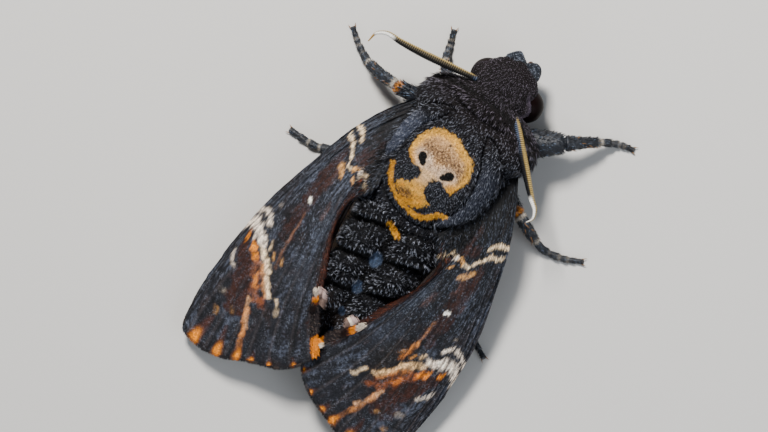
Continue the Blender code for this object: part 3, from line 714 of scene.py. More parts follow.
# Edges of the forewings by x, y and z, given as if both were on the left
ROOT_EDGE = [(9.3, -8.2, 8.7), (8.6, -3.0, 9.6), (7.6, 3.0, 10.9), (6.4, 8.8, 12.1)]
WING_LEFT = {
    "costa": [(9.3, -8.2, 8.7), (12.4, -3.6, 9.1), (15.5, 2.8, 8.5), (18.5, 12.2, 6.6),
              (20.8, 20.7, 5.1), (22.1, 31.0, 4.0)],
    "margin": [(22.1, 31.0, 4.0), (22.5, 38.3, 3.4), (22.2, 44.5, 2.9), (20.6, 49.7, 2.6),
               (17.3, 50.1, 3.2), (12.4, 48.9, 4.4), (8.9, 46.8, 5.4), (5.6, 45.1, 6.4),
               (2.6, 43.5, 7.4), (0.2, 40.9, 8.2), (-1.6, 37.0, 9.0)],
    "inner": [(6.4, 8.8, 12.1), (8.9, 13.4, 11.2), (8.1, 20.0, 10.5), (5.6, 25.5, 10.4),
              (3.6, 29.8, 10.3), (0.9, 34.0, 9.8), (-1.6, 37.0, 9.0)]}
WING_RIGHT = {
    "costa": [(9.3, -8.2, 8.7), (12.6, -3.4, 9.1), (15.6, 2.2, 8.5), (18.4, 10.6, 6.7),
              (21.0, 20.2, 5.1), (21.9, 30.4, 4.0)],
    "margin": [(21.9, 30.4, 4.0), (21.4, 37.3, 3.4), (20.6, 42.8, 2.9), (18.7, 47.4, 2.6),
               (15.6, 47.8, 3.2), (12.4, 47.0, 4.0), (8.9, 45.7, 4.9), (5.6, 44.6, 5.7),
               (2.7, 43.2, 6.4), (0.3, 41.0, 7.0), (-1.3, 37.0, 7.5)],
    "inner": [(6.4, 8.8, 12.1), (9.1, 12.4, 11.2), (8.5, 18.2, 10.4), (6.4, 24.0, 10.1),
              (4.3, 28.9, 9.5), (1.6, 33.2, 8.5), (-1.3, 37.0, 7.5)]}
# Veins of the wings: place across the wing and where along it each starts
FORE_VEINS = [(0.025, 0.02), (0.10, 0.34), (0.20, 0.45), (0.31, 0.03), (0.42, 0.58), (0.51, 0.42),
              (0.60, 0.43), (0.69, 0.42), (0.78, 0.36), (0.87, 0.03), (0.955, 0.06)]
HIND_VEINS = [(0.08, 0.0), (0.22, 0.25), (0.36, 0.0), (0.50, 0.3), (0.64, 0.3), (0.78, 0.0),
              (0.9, 0.1)]
# Edges of a hindwing by their places on the forewing over it
HIND_COSTA = [(0.10, 0.36), (0.34, 0.24), (0.60, 0.20)]
HIND_INNER = [(0.10, 0.90), (0.26, 0.955), (0.50, 0.955), (0.68, 0.90), (0.84, 0.86)]
HIND_ROOT = [(0.10, 0.36), (0.10, 0.90)]
HIND_MARGIN = [(0.60, 0.20), (0.74, 0.36), (0.80, 0.55), (0.84, 0.72), (0.84, 0.86)]
# Thickness and vein height of a wing, depth of a hindwing's middle surface under the forewing's
# and rise of the forewing's middle, in mm
SHEET, VEIN_RISE = 0.56, 0.26
HIND_DEPTH = SHEET + VEIN_RISE + 0.3 + 0.12
CAMBER = 1.1
# Length and width of a wing in mm, as the sizes of its marks are reckoned
WING_LONG, WING_WIDE = 50.0, 22.0


def grid_normals(grid):
    """Upward normals of a grid: the cross product of its slopes along and across."""
    normal = unit(np.cross(np.gradient(grid, axis=0), np.gradient(grid, axis=1)))
    return normal * np.sign(normal[..., 2:])


def patch(first, last, start, end, u, v, crowd=1.0):
    """Patch between four edge curves: u runs along the edges first and last, v across them.

    The blend of one pair of edges plus the blend of the other, less the blend of the corners;
    crowd above 1 draws the places on the start edge together at its beginning."""
    start, end = np.array(start), np.array(end)
    far_u, far_v = u[..., None], v[..., None]
    near_u, near_v = 1 - far_u, 1 - far_v
    along = near_v * curve(first, u) + far_v * curve(last, u)
    across = near_u * curve(start, v ** crowd) + far_u * curve(end, v)
    corners = (near_u * (near_v * start[0] + far_v * start[-1])
               + far_u * (near_v * end[0] + far_v * end[-1]))
    return along + across - corners


def wing_surface(shape, side, u, v):
    """Middle surface of a forewing, u from root 0 to margin 1 and v from leading edge 0 to inner 1.

    The patch between its four edges, raised in the middle by a camber of two sine arches."""
    points = patch(shape["costa"], shape["inner"], ROOT_EDGE, shape["margin"], u, v, 1.7)
    points[..., 2] += CAMBER * np.sin(math.pi * u ** 0.8) * np.sin(math.pi * v ** 0.9)
    return points * (side, 1.0, 1.0)


def vein_height(veins, u, v, half=0.011):
    """Rounded ridges along the veins, from 0 to 1: a bell curve across each, lower to the margin."""
    height = np.zeros((len(u), len(v)))
    for place, start in veins:
        reach = ease(u, start, start + 0.06) * (1 - 0.35 * u)
        height = np.maximum(height, np.outer(reach, bell(v - place, half * 0.62)))
    return height


def vein_lines(u, v, aside, half):
    """1 on lines that run that far aside of the forewing's veins, in a bell curve across each."""
    return np.max([bell(v - place - aside, half) * ease(u, start, start + 0.1)
                   for place, start in FORE_VEINS], axis=0)


def between_rows(grid, row, column):
    """Points of a grid at rows and columns with fractions, blended from the four around each."""
    low_row = np.minimum(row.astype(int), grid.shape[0] - 2)
    low_column = np.minimum(column.astype(int), grid.shape[1] - 2)
    down, right = (row - low_row)[..., None], (column - low_column)[..., None]
    return ((1 - down) * (1 - right) * grid[low_row, low_column]
            + down * (1 - right) * grid[low_row + 1, low_column]
            + (1 - down) * right * grid[low_row, low_column + 1]
            + down * right * grid[low_row + 1, low_column + 1])


def closed_sheet(upper, lower):
    """Points and outward quads of a thin closed sheet from its upper and lower grids.

    Quads of the upper grid, the same turned over on the lower one, and a rim between them."""
    rows, columns = upper.shape[:2]
    size = rows * columns
    row, column = np.meshgrid(np.arange(rows - 1), np.arange(columns - 1), indexing="ij")
    top = (row * columns + column).ravel()
    top = np.stack([top, top + columns, top + columns + 1, top + 1], 1)
    edge = np.concatenate([np.arange(columns - 1), np.arange(rows - 1) * columns + columns - 1,
                           (rows - 1) * columns + np.arange(columns - 1, 0, -1),
                           np.arange(rows - 1, 0, -1) * columns])
    after = np.roll(edge, -1)
    rim = np.stack([edge, after, after + size, edge + size], 1)
    faces = np.concatenate([top, top[:, ::-1] + size, rim])
    points = np.concatenate([upper.reshape(-1, 3), lower.reshape(-1, 3)])
    normal = np.cross(upper[1, 0] - upper[0, 0], upper[0, 1] - upper[0, 0])
    if normal[2] < 0:
        faces = faces[:, ::-1]
    return points, faces


def streak(u, v, line, half, soft=0.22):
    """1 on a bent line of places on the wing, falling to 0 past half, in millimetres.

    One less the smooth step of the distance to the line, from half less soft to half plus soft."""
    line = np.array(line) * (WING_LONG, WING_WIDE)
    away = line_distance(u * WING_LONG, v * WING_WIDE, line)
    return 1 - ease(away, half - soft, half + soft)


def blot(u, v, at, size, turn=0.0, soft=0.35):
    """1 in an oval at a place on the wing, size its half axes in millimetres.

    One less the smooth step of the oval's measure, which is 1 on its edge."""
    reach = spot(u * WING_LONG, v * WING_WIDE, (at[0] * WING_LONG, at[1] * WING_WIDE), size, turn)
    return 1 - ease(reach, 1 - soft, 1 + soft)


PALE, BAND = hue(248, 230, 210), hue(246, 216, 174)
AMBER, RUST = hue(250, 146, 8), hue(150, 78, 34)
DARK_RUST, TAN = hue(44, 22, 16), hue(210, 154, 86)
WING_BLACK, SLATE, EARTH = hue(25, 26, 32), hue(76, 82, 98), hue(44, 31, 27)
FRONT_GREY = hue(72, 76, 88)
FLECK_GREY, VEIN_BROWN = hue(116, 126, 146), hue(74, 66, 66)
UNDER_OCHRE, UNDER_DARK, UNDER_RIM = hue(150, 112, 62), hue(52, 44, 42), hue(30, 26, 27)
HIND_OCHRE, HIND_BAND, HIND_FOLD = hue(206, 150, 58), hue(34, 29, 30), hue(40, 27, 22)
# Places on a wing are (u, v): u from root 0 to margin 1, v from leading edge 0 to inner edge 1
# Line on the wing, half width in mm, colour, strength
WING_LINES = [
    ([(0.17, 0.55), (0.14, 0.70)], 1.0, DARK_RUST, 0.8),
    ([(0.09, 0.60), (0.14, 0.80)], 0.9, DARK_RUST, 0.6),
    ([(0.26, 0.42), (0.40, 0.50), (0.52, 0.54)], 1.35, DARK_RUST, 0.8),
    ([(0.16, 0.93), (0.40, 0.975)], 1.1, DARK_RUST, 0.9),
    ([(0.40, 0.97), (0.62, 0.985)], 0.8, DARK_RUST, 0.9),
    ([(0.27, 0.53), (0.32, 0.54)], 0.8, hue(84, 56, 48), 0.6),
    ([(0.285, 0.50), (0.36, 0.53)], 0.95, DARK_RUST * 0.8, 0.75),
    ([(0.43, 0.56), (0.50, 0.575), (0.58, 0.585), (0.64, 0.62)], 0.30, hue(84, 60, 50), 0.5),
    ([(0.44, 0.565), (0.52, 0.575), (0.60, 0.595), (0.64, 0.62)], 0.2, hue(134, 90, 62), 0.35),
    ([(0.33, 0.74), (0.38, 0.73)], 0.6, hue(110, 80, 74), 0.25),
    ([(0.70, 0.30), (0.68, 0.42), (0.73, 0.50), (0.82, 0.54)], 1.4, DARK_RUST * 1.15, 0.95),
    ([(0.30, 0.03), (0.25, 0.15), (0.205, 0.27), (0.178, 0.41)], 0.28, BAND, 1.0),
    ([(0.325, 0.06), (0.285, 0.18), (0.248, 0.27), (0.212, 0.38), (0.210, 0.47), (0.222, 0.56),
      (0.208, 0.64)], 0.26, BAND, 1.0),
    ([(0.30, 0.09), (0.262, 0.18), (0.226, 0.27), (0.20, 0.34)], 0.09, BLACK, 0.9),
    ([(0.20, 0.655), (0.17, 0.71), (0.15, 0.77)], 0.30, TAN, 1.0),
    ([(0.155, 0.76), (0.138, 0.81)], 0.42, PALE, 1.0),
    ([(0.14, 0.81), (0.11, 0.84), (0.09, 0.91), (0.055, 0.985)], 0.26, BAND, 1.0),
    ([(0.195, 0.76), (0.185, 0.82)], 0.3, TAN, 0.8),
    ([(0.135, 0.86), (0.11, 0.93)], 0.3, RUST, 0.8),
    ([(0.25, 0.48), (0.255, 0.60)], 0.5, TAN, 0.75),
    ([(0.86, 0.0), (0.75, 0.11), (0.66, 0.21), (0.61, 0.28)], 0.22, PALE, 0.9),
    ([(0.585, 0.32), (0.553, 0.40)], 0.36, PALE, 1.0),
    ([(0.95, 0.0), (0.84, 0.085), (0.73, 0.19), (0.655, 0.30)], 0.50, PALE, 1.0),
    ([(0.635, 0.335), (0.605, 0.39), (0.60, 0.445)], 0.62, PALE, 1.0),
    ([(0.62, 0.485), (0.638, 0.54), (0.66, 0.585)], 0.46, BAND, 1.0),
    ([(0.655, 0.535), (0.69, 0.595), (0.74, 0.65)], 0.35, hue(206, 140, 84), 0.8),
    ([(0.68, 0.60), (0.71, 0.64), (0.74, 0.68)], 0.34, BAND, 0.95),
    ([(0.58, 0.495), (0.60, 0.51)], 0.24, BAND * 0.8, 0.8),
    ([(0.60, 0.55), (0.615, 0.565)], 0.2, TAN * 0.8, 0.8),
    ([(0.515, 0.36), (0.54, 0.315)], 0.22, PALE * 0.35, 0.5),
    ([(0.60, 0.62), (0.62, 0.645)], 0.22, TAN * 0.8, 0.6),
    ([(0.745, 0.725), (0.765, 0.74), (0.80, 0.755)], 0.24, BAND, 0.65),
    ([(0.71, 0.28), (0.68, 0.33)], 0.32, AMBER * 0.75, 0.75),
    ([(0.638, 0.425), (0.655, 0.465)], 0.48, AMBER, 1.0),
    ([(0.665, 0.50), (0.70, 0.555), (0.75, 0.59), (0.77, 0.62)], 0.6, hue(122, 72, 44), 0.8),
    ([(0.69, 0.54), (0.73, 0.575)], 0.24, hue(200, 122, 50), 0.75),
    ([(0.76, 0.64), (0.79, 0.66)], 0.4, RUST * 0.7, 0.5),
    ([(0.77, 0.58), (0.83, 0.605), (0.88, 0.635)], 0.17, hue(224, 170, 124), 0.85),
    ([(0.80, 0.595), (0.90, 0.625), (0.985, 0.648)], 0.2, hue(204, 130, 66), 0.85),
    ([(0.775, 0.30), (0.748, 0.34), (0.732, 0.41)], 0.3, PALE * 0.65, 0.85),
    ([(0.80, 0.44), (0.81, 0.445)], 0.25, PALE * 0.3, 0.5),
    ([(0.86, 0.465), (0.875, 0.47)], 0.22, TAN * 0.45, 0.6),
    ([(0.83, 0.53), (0.84, 0.54)], 0.25, TAN * 0.6, 0.6),
    ([(0.65, 0.965), (0.675, 0.985)], 0.45, PALE, 1.0),
    ([(0.70, 0.98), (0.735, 0.99)], 0.45, AMBER, 1.0),
    ([(0.76, 0.98), (0.84, 0.98)], 0.8, DARK_RUST * 0.6, 0.9)]
# Lines that only the right wing carries
RIGHT_LINES = [
    ([(0.44, 0.565), (0.52, 0.575), (0.60, 0.595), (0.64, 0.62)], 0.24, hue(160, 104, 58), 0.3),
    ([(0.55, 0.585), (0.60, 0.60), (0.635, 0.62)], 0.32, hue(214, 140, 66), 0.55)]
# Colour, strength, centre on the wing, half axes in mm, turn
WING_CLOUDS = [
    (hue(66, 74, 88), 0.25, (0.36, 0.85), (5.5, 1.6), -0.1),
    (hue(66, 72, 86), 0.2, (0.58, 0.80), (4.0, 1.8), 0.0)]
# Centre on the wing, half axes in mm, turn, colour, strength
WING_SPOTS = [
    ((0.392, 0.517), (0.40, 0.58), 0.0, hue(244, 240, 228), 1.0),
    ((0.49, 0.465), (0.7, 0.8), 0.0, BLACK * 0.5, 0.8),
    ((0.53, 0.55), (0.6, 0.5), 0.0, BLACK * 0.5, 0.9),
    ((0.225, 0.445), (0.35, 0.5), 0.0, BLACK, 0.8),
    ((0.955, 0.985), (3.0, 0.36), 0.0, AMBER, 1.0)]
# Streaks that widen to the margin: v at the start and end, start u, half width, colour
MARGIN_STREAKS = [
    (0.475, 0.450, 0.885, 0.62, AMBER), (0.555, 0.562, 0.885, 0.50, AMBER * 0.92),
    (0.63, 0.648, 0.90, 0.40, AMBER * 0.9), (0.705, 0.71, 0.955, 0.30, AMBER * 0.9),
    (0.785, 0.788, 0.96, 0.26, AMBER * 0.9), (0.875, 0.885, 0.955, 0.24, AMBER * 0.9)]


def wing_ground(u, v, side, streaky, fine, fold_shade):
    """Ground of a forewing's upper side, before its marks.

    Blue-black clouded with slate and earth brown, darker at the root, partly its own colour and
    partly painted shade from the thorax, deeper on the right wing, whose inner half is also painted
    darker as shade; flecked with single grey scales, brown on the veins, with painted shade in the
    folds beside them and along a fold near the inner edge, and thin dark cross lines."""
    right = side < 0
    along, across = u * WING_LONG, v * WING_WIDE
    cloud = wave_noise(along, across, 6.0, 43 + side)
    bars = wave_noise(along + 2.0 * v, across * 0.25, 1.7, 57)
    ground = plain(WING_BLACK, u)
    ground = paint(ground, SLATE, 0.6 * ease(cloud * 0.6 + fine * 0.2 + streaky * 0.5, 0.05, 0.9))
    ground = paint(ground, EARTH, 0.7 * ease(-cloud * 0.6 + 0.5 * streaky, 0.1, 0.9))
    ground = paint(ground, BLACK * 0.6, 0.75 * ease(streaky * 0.7 - fine * 0.5, 0.25, 0.9))
    ground = ground * (1 - 0.45 * ease(bars, 0.1, 0.9) * (1 - ease(v, 0.35, 0.5)))[..., None]
    # Darker at the root: the wing's own dark root and painted shade from the thorax, more on the right
    # wing
    near = 1 - ease(u + 0.04 * streaky, 0.08, 0.28 + 0.12 * right)
    ground = ground * (1 - (0.5 + 0.32 * right) * near)[..., None]
    # Painted shade over the inner half of the right wing
    ground = ground * (1 - 0.32 * right * (1 - ease(u, 0.45, 0.65)))[..., None]
    flecks = rng.random(u.shape) < 0.08 * (1 - ease(u, 0.40, 0.60)) * ease(u, 0.05, 0.2 - 0.1 * right)
    ground = paint(ground, FLECK_GREY, flecks * (0.32 if right else 0.45))
    for colour, strength, at, size, turn in WING_CLOUDS:
        ground = paint(ground, colour, strength * blot(u, v, at, size, turn, 0.8))
    front = 0.40 * (v < 0.40) * ease(streaky + fine, 0.0, 1.2) * ease(u, 0.3, 0.4)
    ground = paint(ground, FRONT_GREY, front)
    veins = vein_lines(u, v, 0.0, 0.007)
    ground = paint(ground, VEIN_BROWN, 0.3 * veins * ease(u, 0.35, 0.7))
    # Painted shade in the folds beside the veins
    ground = ground * (1 - 0.45 * fold_shade)[..., None]
    # Painted shade along a fold near the inner edge
    ground = paint(ground, BLACK * 0.5, 0.7 * bell(v - 0.905 + 0.03 * u, 0.010))
    for place in (0.335, 0.475, 0.535, 0.83):
        bend = place + 0.02 * np.sin(9 * v + 5 * place) - 0.10 * (v - 0.5) ** 2
        ground = paint(ground, BLACK * 0.4, 0.75 * bell(u - bend, 0.006) * ease(fine, -0.4, 0.5))
    return ground


def wing_marks(base, u, v, side, streaky, fold_shade):
    """Lines, spots and margin streaks laid over a forewing's ground.

    Their places are shifted by noise so that the edges are ragged, and they are worn through in
    patches and dimmed in the folds as painted shade. A margin streak widens with the 0.6 power of
    its reach."""
    right = side < 0
    along, across = u * WING_LONG, v * WING_WIDE
    feather = wave_noise(along * 0.25, across, 0.35, 55 + side)
    shift = 0.034 * (1 - ease(u, 0.45, 0.62)) * right
    warp_u = u - shift + 0.004 * wave_noise(along * 0.3, across, 1.6, 47 + side) + 0.0035 * feather
    warp_v = v + 0.006 * wave_noise(along * 0.4, across, 1.6, 49 + side)
    wear = 0.25 * right
    worn_and_fold_shaded = 0.35 + 0.7 * ease(streaky + 0.8 * feather, wear - 1.1, wear + 0.2)
    # Dimmed in the folds beside the veins: painted shade
    worn_and_fold_shaded = worn_and_fold_shaded * (1 - 0.45 * fold_shade)
    swell = 1 + 0.4 * wave_noise(along * 0.8, across, 1.5, 59 + side)
    base = paint(base, BLACK, 0.6 * ease(u, 0.986, 0.996))
    for line, half, colour, strength in WING_LINES + (RIGHT_LINES if right else []):
        mask = streak(warp_u, warp_v, line, half * swell, min(0.15 + 0.4 * half, 0.4))
        base = paint(base, colour, strength * worn_and_fold_shaded * mask)
    warm = 0.9 * right * blot(u, v, (0.67, 0.60), (5.0, 3.6), 0.0, 0.4)
    base = base * (1 - warm[..., None] * (0.08, 0.27, 0.50))
    for at, size, turn, colour, strength in WING_SPOTS:
        base = paint(base, colour, strength * blot(warp_u, warp_v, at, size, turn))
    for first, last, start, half, colour in MARGIN_STREAKS:
        reach = np.clip((u - start) / (1 - start), 1e-6, 1)
        away = np.abs(warp_v - first - (last - first) * reach) * WING_WIDE
        wide = half * reach ** 0.6
        mask = (u > start) * (1 - ease(away, wide - 0.25, wide + 0.2))
        glow = mask * ease(reach, 0.45, 0.9) * (1 - 0.6 * ease(away, 0.3 * wide, wide))
        base = paint(base, DARK_RUST * 1.6, mask * 0.9)
        base = paint(base, colour, glow)
    return base


def wing_tint(u, v, side):
    """Colours of a forewing's upper side: mottled blue-black crossed by pale and orange marks."""
    along, across = u * WING_LONG, v * WING_WIDE
    streaky = wave_noise(along * 0.32, across, 1.1, 41 + side)
    fine = wave_noise(along * 0.6, across, 0.55, 45 + side)
    fold_shade = vein_lines(u, v, 0.012, 0.006)
    ground = wing_ground(u, v, side, streaky, fine, fold_shade)
    marked = wing_marks(ground, u, v, side, streaky, fold_shade)
    return marked * (1 + 0.24 * fine + 0.16 * streaky)[..., None]


def under_tint(u, v):
    """Colours of a forewing's under side: dull ochre towards the root, dark bands outwards."""
    streaky = wave_noise(u * 14, v * WING_WIDE, 1.1, 51)
    outer = 0.8 * ease(u, 0.5, 0.62) * (1 - 0.5 * hump(u, 0.75, 0.1))
    rim = np.minimum(np.minimum(v, 1 - v) * WING_WIDE, np.minimum(u, 1 - u) * WING_LONG)
    base = paint(plain(UNDER_OCHRE, u), UNDER_DARK, outer)
    base = paint(base, UNDER_RIM, 1 - ease(rim, 0.6, 1.8))
    return base * (0.85 + 0.2 * streaky)[..., None]


def hind_tint(u, v):
    """Colours of a hindwing: ochre yellow with a dark root, two dark bands and a dark margin."""
    streaky = wave_noise(u * 10, v * 14, 1.0, 53)
    base = plain(HIND_OCHRE, u)
    for place, half in ((0.05, 0.10), (0.48, 0.085), (0.76, 0.12), (1.0, 0.05)):
        bend = np.abs(u - place + 0.03 * np.sin(6 * v) + 0.012 * streaky)
        base = paint(base, HIND_BAND, 0.93 * (1 - ease(bend, half * 0.8, half * 1.2)))
    base = paint(base, HIND_FOLD, ease(v, 0.66, 0.78))
    return base * (0.92 + 0.15 * streaky)[..., None]


def ordered(side, *grids):
    """Grids as they are for the left, turned over across their width for the right."""
    return grids if side > 0 else tuple(grid[:, ::-1] for grid in grids)


def sheet_piece(name, side, upper, lower, upper_tint, lower_tint, material):
    """Piece from a sheet's upper and lower grids and their colours."""
    points, faces = closed_sheet(*ordered(side, upper, lower))
    tints = [tint.reshape(-1, 3) for tint in ordered(side, upper_tint, lower_tint)]
    return make_piece(name, points, faces, material, np.concatenate(tints))


def build_forewing(name, shape, side):
    """Forewing: a sheet thinned to its edges, with veins and shallow pleats raised on top.

    Both faces lie half the sheet off the middle surface; the pleats are a sine wave across the
    wing, 11 to its width, and a little noise."""
    u = 1 - (1 - np.linspace(0.0, 1.0, 220)) ** 1.12
    v = np.linspace(0.0, 1.0, 184)
    across, along = np.meshgrid(v, u)
    grid = wing_surface(shape, side, along, across)
    normal = grid_normals(grid)
    pleat = 0.05 * np.sin(FULL * across * 11) + 0.04 * wave_noise(along * 18, across * 22, 1.5, 61)
    edge = ease(np.minimum(np.minimum(across, 1 - across) / 0.03, (1 - along) / 0.02))
    thin = 0.62 + 0.38 * edge
    rise = (VEIN_RISE * vein_height(FORE_VEINS, u, v) + pleat * edge) * thin
    upper = grid + normal * (SHEET / 2 * thin + rise)[..., None]
    lower = grid - normal * (SHEET / 2 * thin)[..., None]
    wing = sheet_piece("wing_fore_" + name, side, upper, lower, wing_tint(along, across, side),
                       under_tint(along, across), WING)
    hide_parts("forewing_" + name)


def build_hindwing(name, shape, side):
    """Hindwing: a sheet laid under a part of the forewing, with veins raised on its under side.

    Its places are a patch in the forewing's (u, v), looked up in a grid sunk by its depth."""
    fine = np.linspace(0.0, 1.0, 61)
    under = wing_surface(shape, side, *np.meshgrid(fine, fine, indexing="ij"))
    under = under - grid_normals(under) * HIND_DEPTH
    u, v = np.linspace(0.0, 1.0, 96), np.linspace(0.0, 1.0, 110)
    across, along = np.meshgrid(v, u)
    place = patch(HIND_COSTA, HIND_INNER, HIND_ROOT, HIND_MARGIN, along, across)
    row, column = (np.clip(place[..., axis], 0, 1) * (len(fine) - 1) for axis in (0, 1))
    grid = between_rows(under, row, column)
    normal = grid_normals(grid)
    upper = grid + normal * SHEET / 2
    lower = grid - normal * (SHEET / 2 + VEIN_RISE * vein_height(HIND_VEINS, u, v, 0.018))[..., None]
    tint = hind_tint(along, across)
    wing = sheet_piece("wing_hind_" + name, side, upper, lower, tint, tint, HINDWING)
    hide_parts("hindwing_" + name)


SIDES = (("left", WING_LEFT, 1), ("right", WING_RIGHT, -1))
for side_name, shape, side in SIDES:
    build_forewing(side_name, shape, side)
    build_hindwing(side_name, shape, side)


# Coat of tufts

# Size of a tuft's patch in the UV map, most tufts in one piece, brightness of the pale marks
PATCH = 0.003
PIECE_TUFTS = 19500
BRIGHT = 0.45
# Where the coat's pieces part along the body, and the colours of its pale tips, painted highlights on the
# hairs
COAT_EDGES = (-12.6, 9.4)
FROST_HIGHLIGHT, FROST_MAUVE_HIGHLIGHT = hue(206, 212, 230), hue(182, 170, 190)
# Rings of a tuft: share of its length and of its width, then its triangles and UV corners
TUFT_RINGS = ((0.0, 0.8), (0.45, 1.0))
TUFT_FACES = np.array([(0, 1, 2), (0, 4, 1), (0, 3, 4), (1, 5, 2), (1, 4, 5), (2, 3, 0), (2, 5, 3),
                       (3, 6, 4), (4, 6, 5), (5, 6, 3)])
TUFT_CORNERS = np.array([(0.1, 0.0), (0.5, 0.0), (0.9, 0.0), (0.2, 0.5), (0.5, 0.5), (0.8, 0.5),
                         (0.5, 1.0)])
TUFT_BLEND = np.array([0, 0, 0, 0.35, 0.35, 0.35, 1.0])[None, :, None]


def tuft_piece(name, roots, out, lay, length, width, root_tint, tip_tint, uv_root, slot,
               lift, lean=1.0):
    """Tufts as closed three-sided spikes, ten triangles each.

    Each leaves its root along lay and a little outwards, bends flat and ends in a point;
    in the UV map it is a small patch at its root's own place."""
    count = len(roots)
    lay = unit(lay)
    side = unit(np.cross(lay, out))
    length, width = length[:, None], width[:, None]
    lift = np.broadcast_to(np.asarray(lift, float), (count,))[:, None]
    lean = np.broadcast_to(np.asarray(lean, float), (count,))[:, None]

    def middle(share):
        """Middle of each tuft at a share of its length."""
        return roots + length * (lay * lean * (0.80 * share + 0.12 * share * share)
                                 + out * (lift * share - 0.25 * share * share))

    rings = []
    for share, wide in TUFT_RINGS:
        centre = middle(share) - (0.12 * out if share == 0 else 0)
        rings += [centre + width * wide * (side * math.cos(turn) + 0.6 * out * math.sin(turn))
                  for turn in np.radians([90.0, 210.0, 330.0])]
    points = np.stack(rings + [middle(1.0)], 1)
    faces = (TUFT_FACES[None] + points.shape[1] * np.arange(count)[:, None, None]).reshape(-1, 3)
    # Each tuft runs from a darker root colour to its tip colour: the darker roots are painted shade among
    # the hairs
    tints = root_tint[:, None] * (1 - TUFT_BLEND) + tip_tint[:, None] * TUFT_BLEND
    uv = uv_root[:, None] + (TUFT_CORNERS - 0.5)[None] * PATCH
    uv = np.clip(uv, 0, 1).reshape(-1, 2)[faces.ravel()]
    piece = make_piece(name, points.reshape(-1, 3), faces, COAT, tints.reshape(-1, 3), uv)


def coat_rule(points, out):
    """Tufts to the square millimetre, their length and their half width at each place.

    Length is set for head, thorax and abdomen, longer on the flanks, neck and rings, and shorter
    on the skull mark, in creases, on the blue-grey patches, on the face and beside the eyes."""
    x, y, up = points[..., 0], points[..., 1], out[..., 2]
    top = ease(up, 0.0, 0.4)
    head = 1 - ease(y, -13.6, -12.4)
    belly = ease(y, 8.5, 10.5)
    thorax = (1 - head) * (1 - belly)
    crease = thorax_creases(x, y) * top * (1 - belly)
    skull = (1 - ease(np.hypot(x / 6.6, (y - 1.2) / 7.8), 0.9, 1.05)) * top * thorax
    ring = ring_part(x, y, ease(up, -0.1, 0.4))
    flank = belly * (1 - ease(y, 14, 19)) * ease(np.abs(x), 6.0, 7.4) * ease(up, -0.3, 0.2)
    face = 1 - ease(y, -21.3, -18.5)
    length = 0.42 * head + 0.66 * thorax + 0.60 * belly
    length += 0.65 * (1 - top) * thorax + 0.35 * bell(y + 12.0, 0.9)
    length = length * (1 - 0.45 * skull) * (1 - 0.5 * crease)
    length += 0.12 * belly * ease(ring, 0.3, 0.8) * ease(up, -0.2, 0.5)
    length += 0.8 * flank
    length *= 1 - 0.5 * median_patch(x, y) * belly * top
    length *= 1 - 0.35 * face
    density = 60 * head + 38 * thorax + 26 * skull + 36 * belly
    density *= 0.45 + 0.55 * ease(up, -0.5, 0.2)
    for centre in EYE_CENTRES:
        away = np.linalg.norm(points - centre, axis=-1)
        density = density * ease(away, 2.7, 2.95)
        length = length * (0.45 + 0.55 * ease(away, 2.9, 4.2))
    density = density * (1 - 0.999 * ease(y, 36.7, 37.1)) * ease(y, -21.5, -21.3)
    width = 0.034 + 0.026 * length + 0.016 * belly * top
    return density, length, width


def scatter_roots():
    """Places for the tufts as y and turn: cells of the skin's grid drawn by area and density."""
    grid = skin.reshape(grid_shape)
    wrapped = np.concatenate([grid, grid[:, :1]], 1)
    down, right = wrapped[1:, :-1] - wrapped[:-1, :-1], wrapped[:-1, 1:] - wrapped[:-1, :-1]
    area = np.linalg.norm(np.cross(down, right), axis=-1)
    density, _, _ = coat_rule(skin, skin_out)
    weight = (area * density.reshape(BODY_ROWS, BODY_TURNS)[:-1]).ravel()
    count = int(weight.sum())
    cell = rng.choice(weight.size, count, p=weight / weight.sum())
    row, column = cell // BODY_TURNS, cell % BODY_TURNS
    down, right = rng.random(count), rng.random(count)
    y = body_y[row] * (1 - down) + body_y[row + 1] * down
    return y, body_turn[column] + right * FULL / BODY_TURNS


def coat_lay(roots, out, along, turn):
    """Way the tufts lie: towards the tail, swayed by noise, parted on the thorax, up on the face."""
    y = roots[:, 1]
    around = unit(np.cross(out, along))
    sway = 0.35 * wave_noise(roots[:, 0] + 0.7 * roots[:, 2], y, 2.2, 71)
    sway = sway + rng.normal(0, 0.16, len(y))
    part = 0.30 * np.sin(turn * 2) * ease(y, -9, -5) * (1 - ease(y, 8, 12))
    lay = unit(along + around * (sway - part * np.sign(out[:, 2]))[:, None])
    front = 1 - ease(y, -20.8, -18.8)
    lay = unit(lay * (1 - front)[:, None] + front[:, None] * np.array([0.0, -0.35, 0.9]) + 0.001)
    return unit(lay - out * np.sum(lay * out, -1)[:, None] * 0.9)


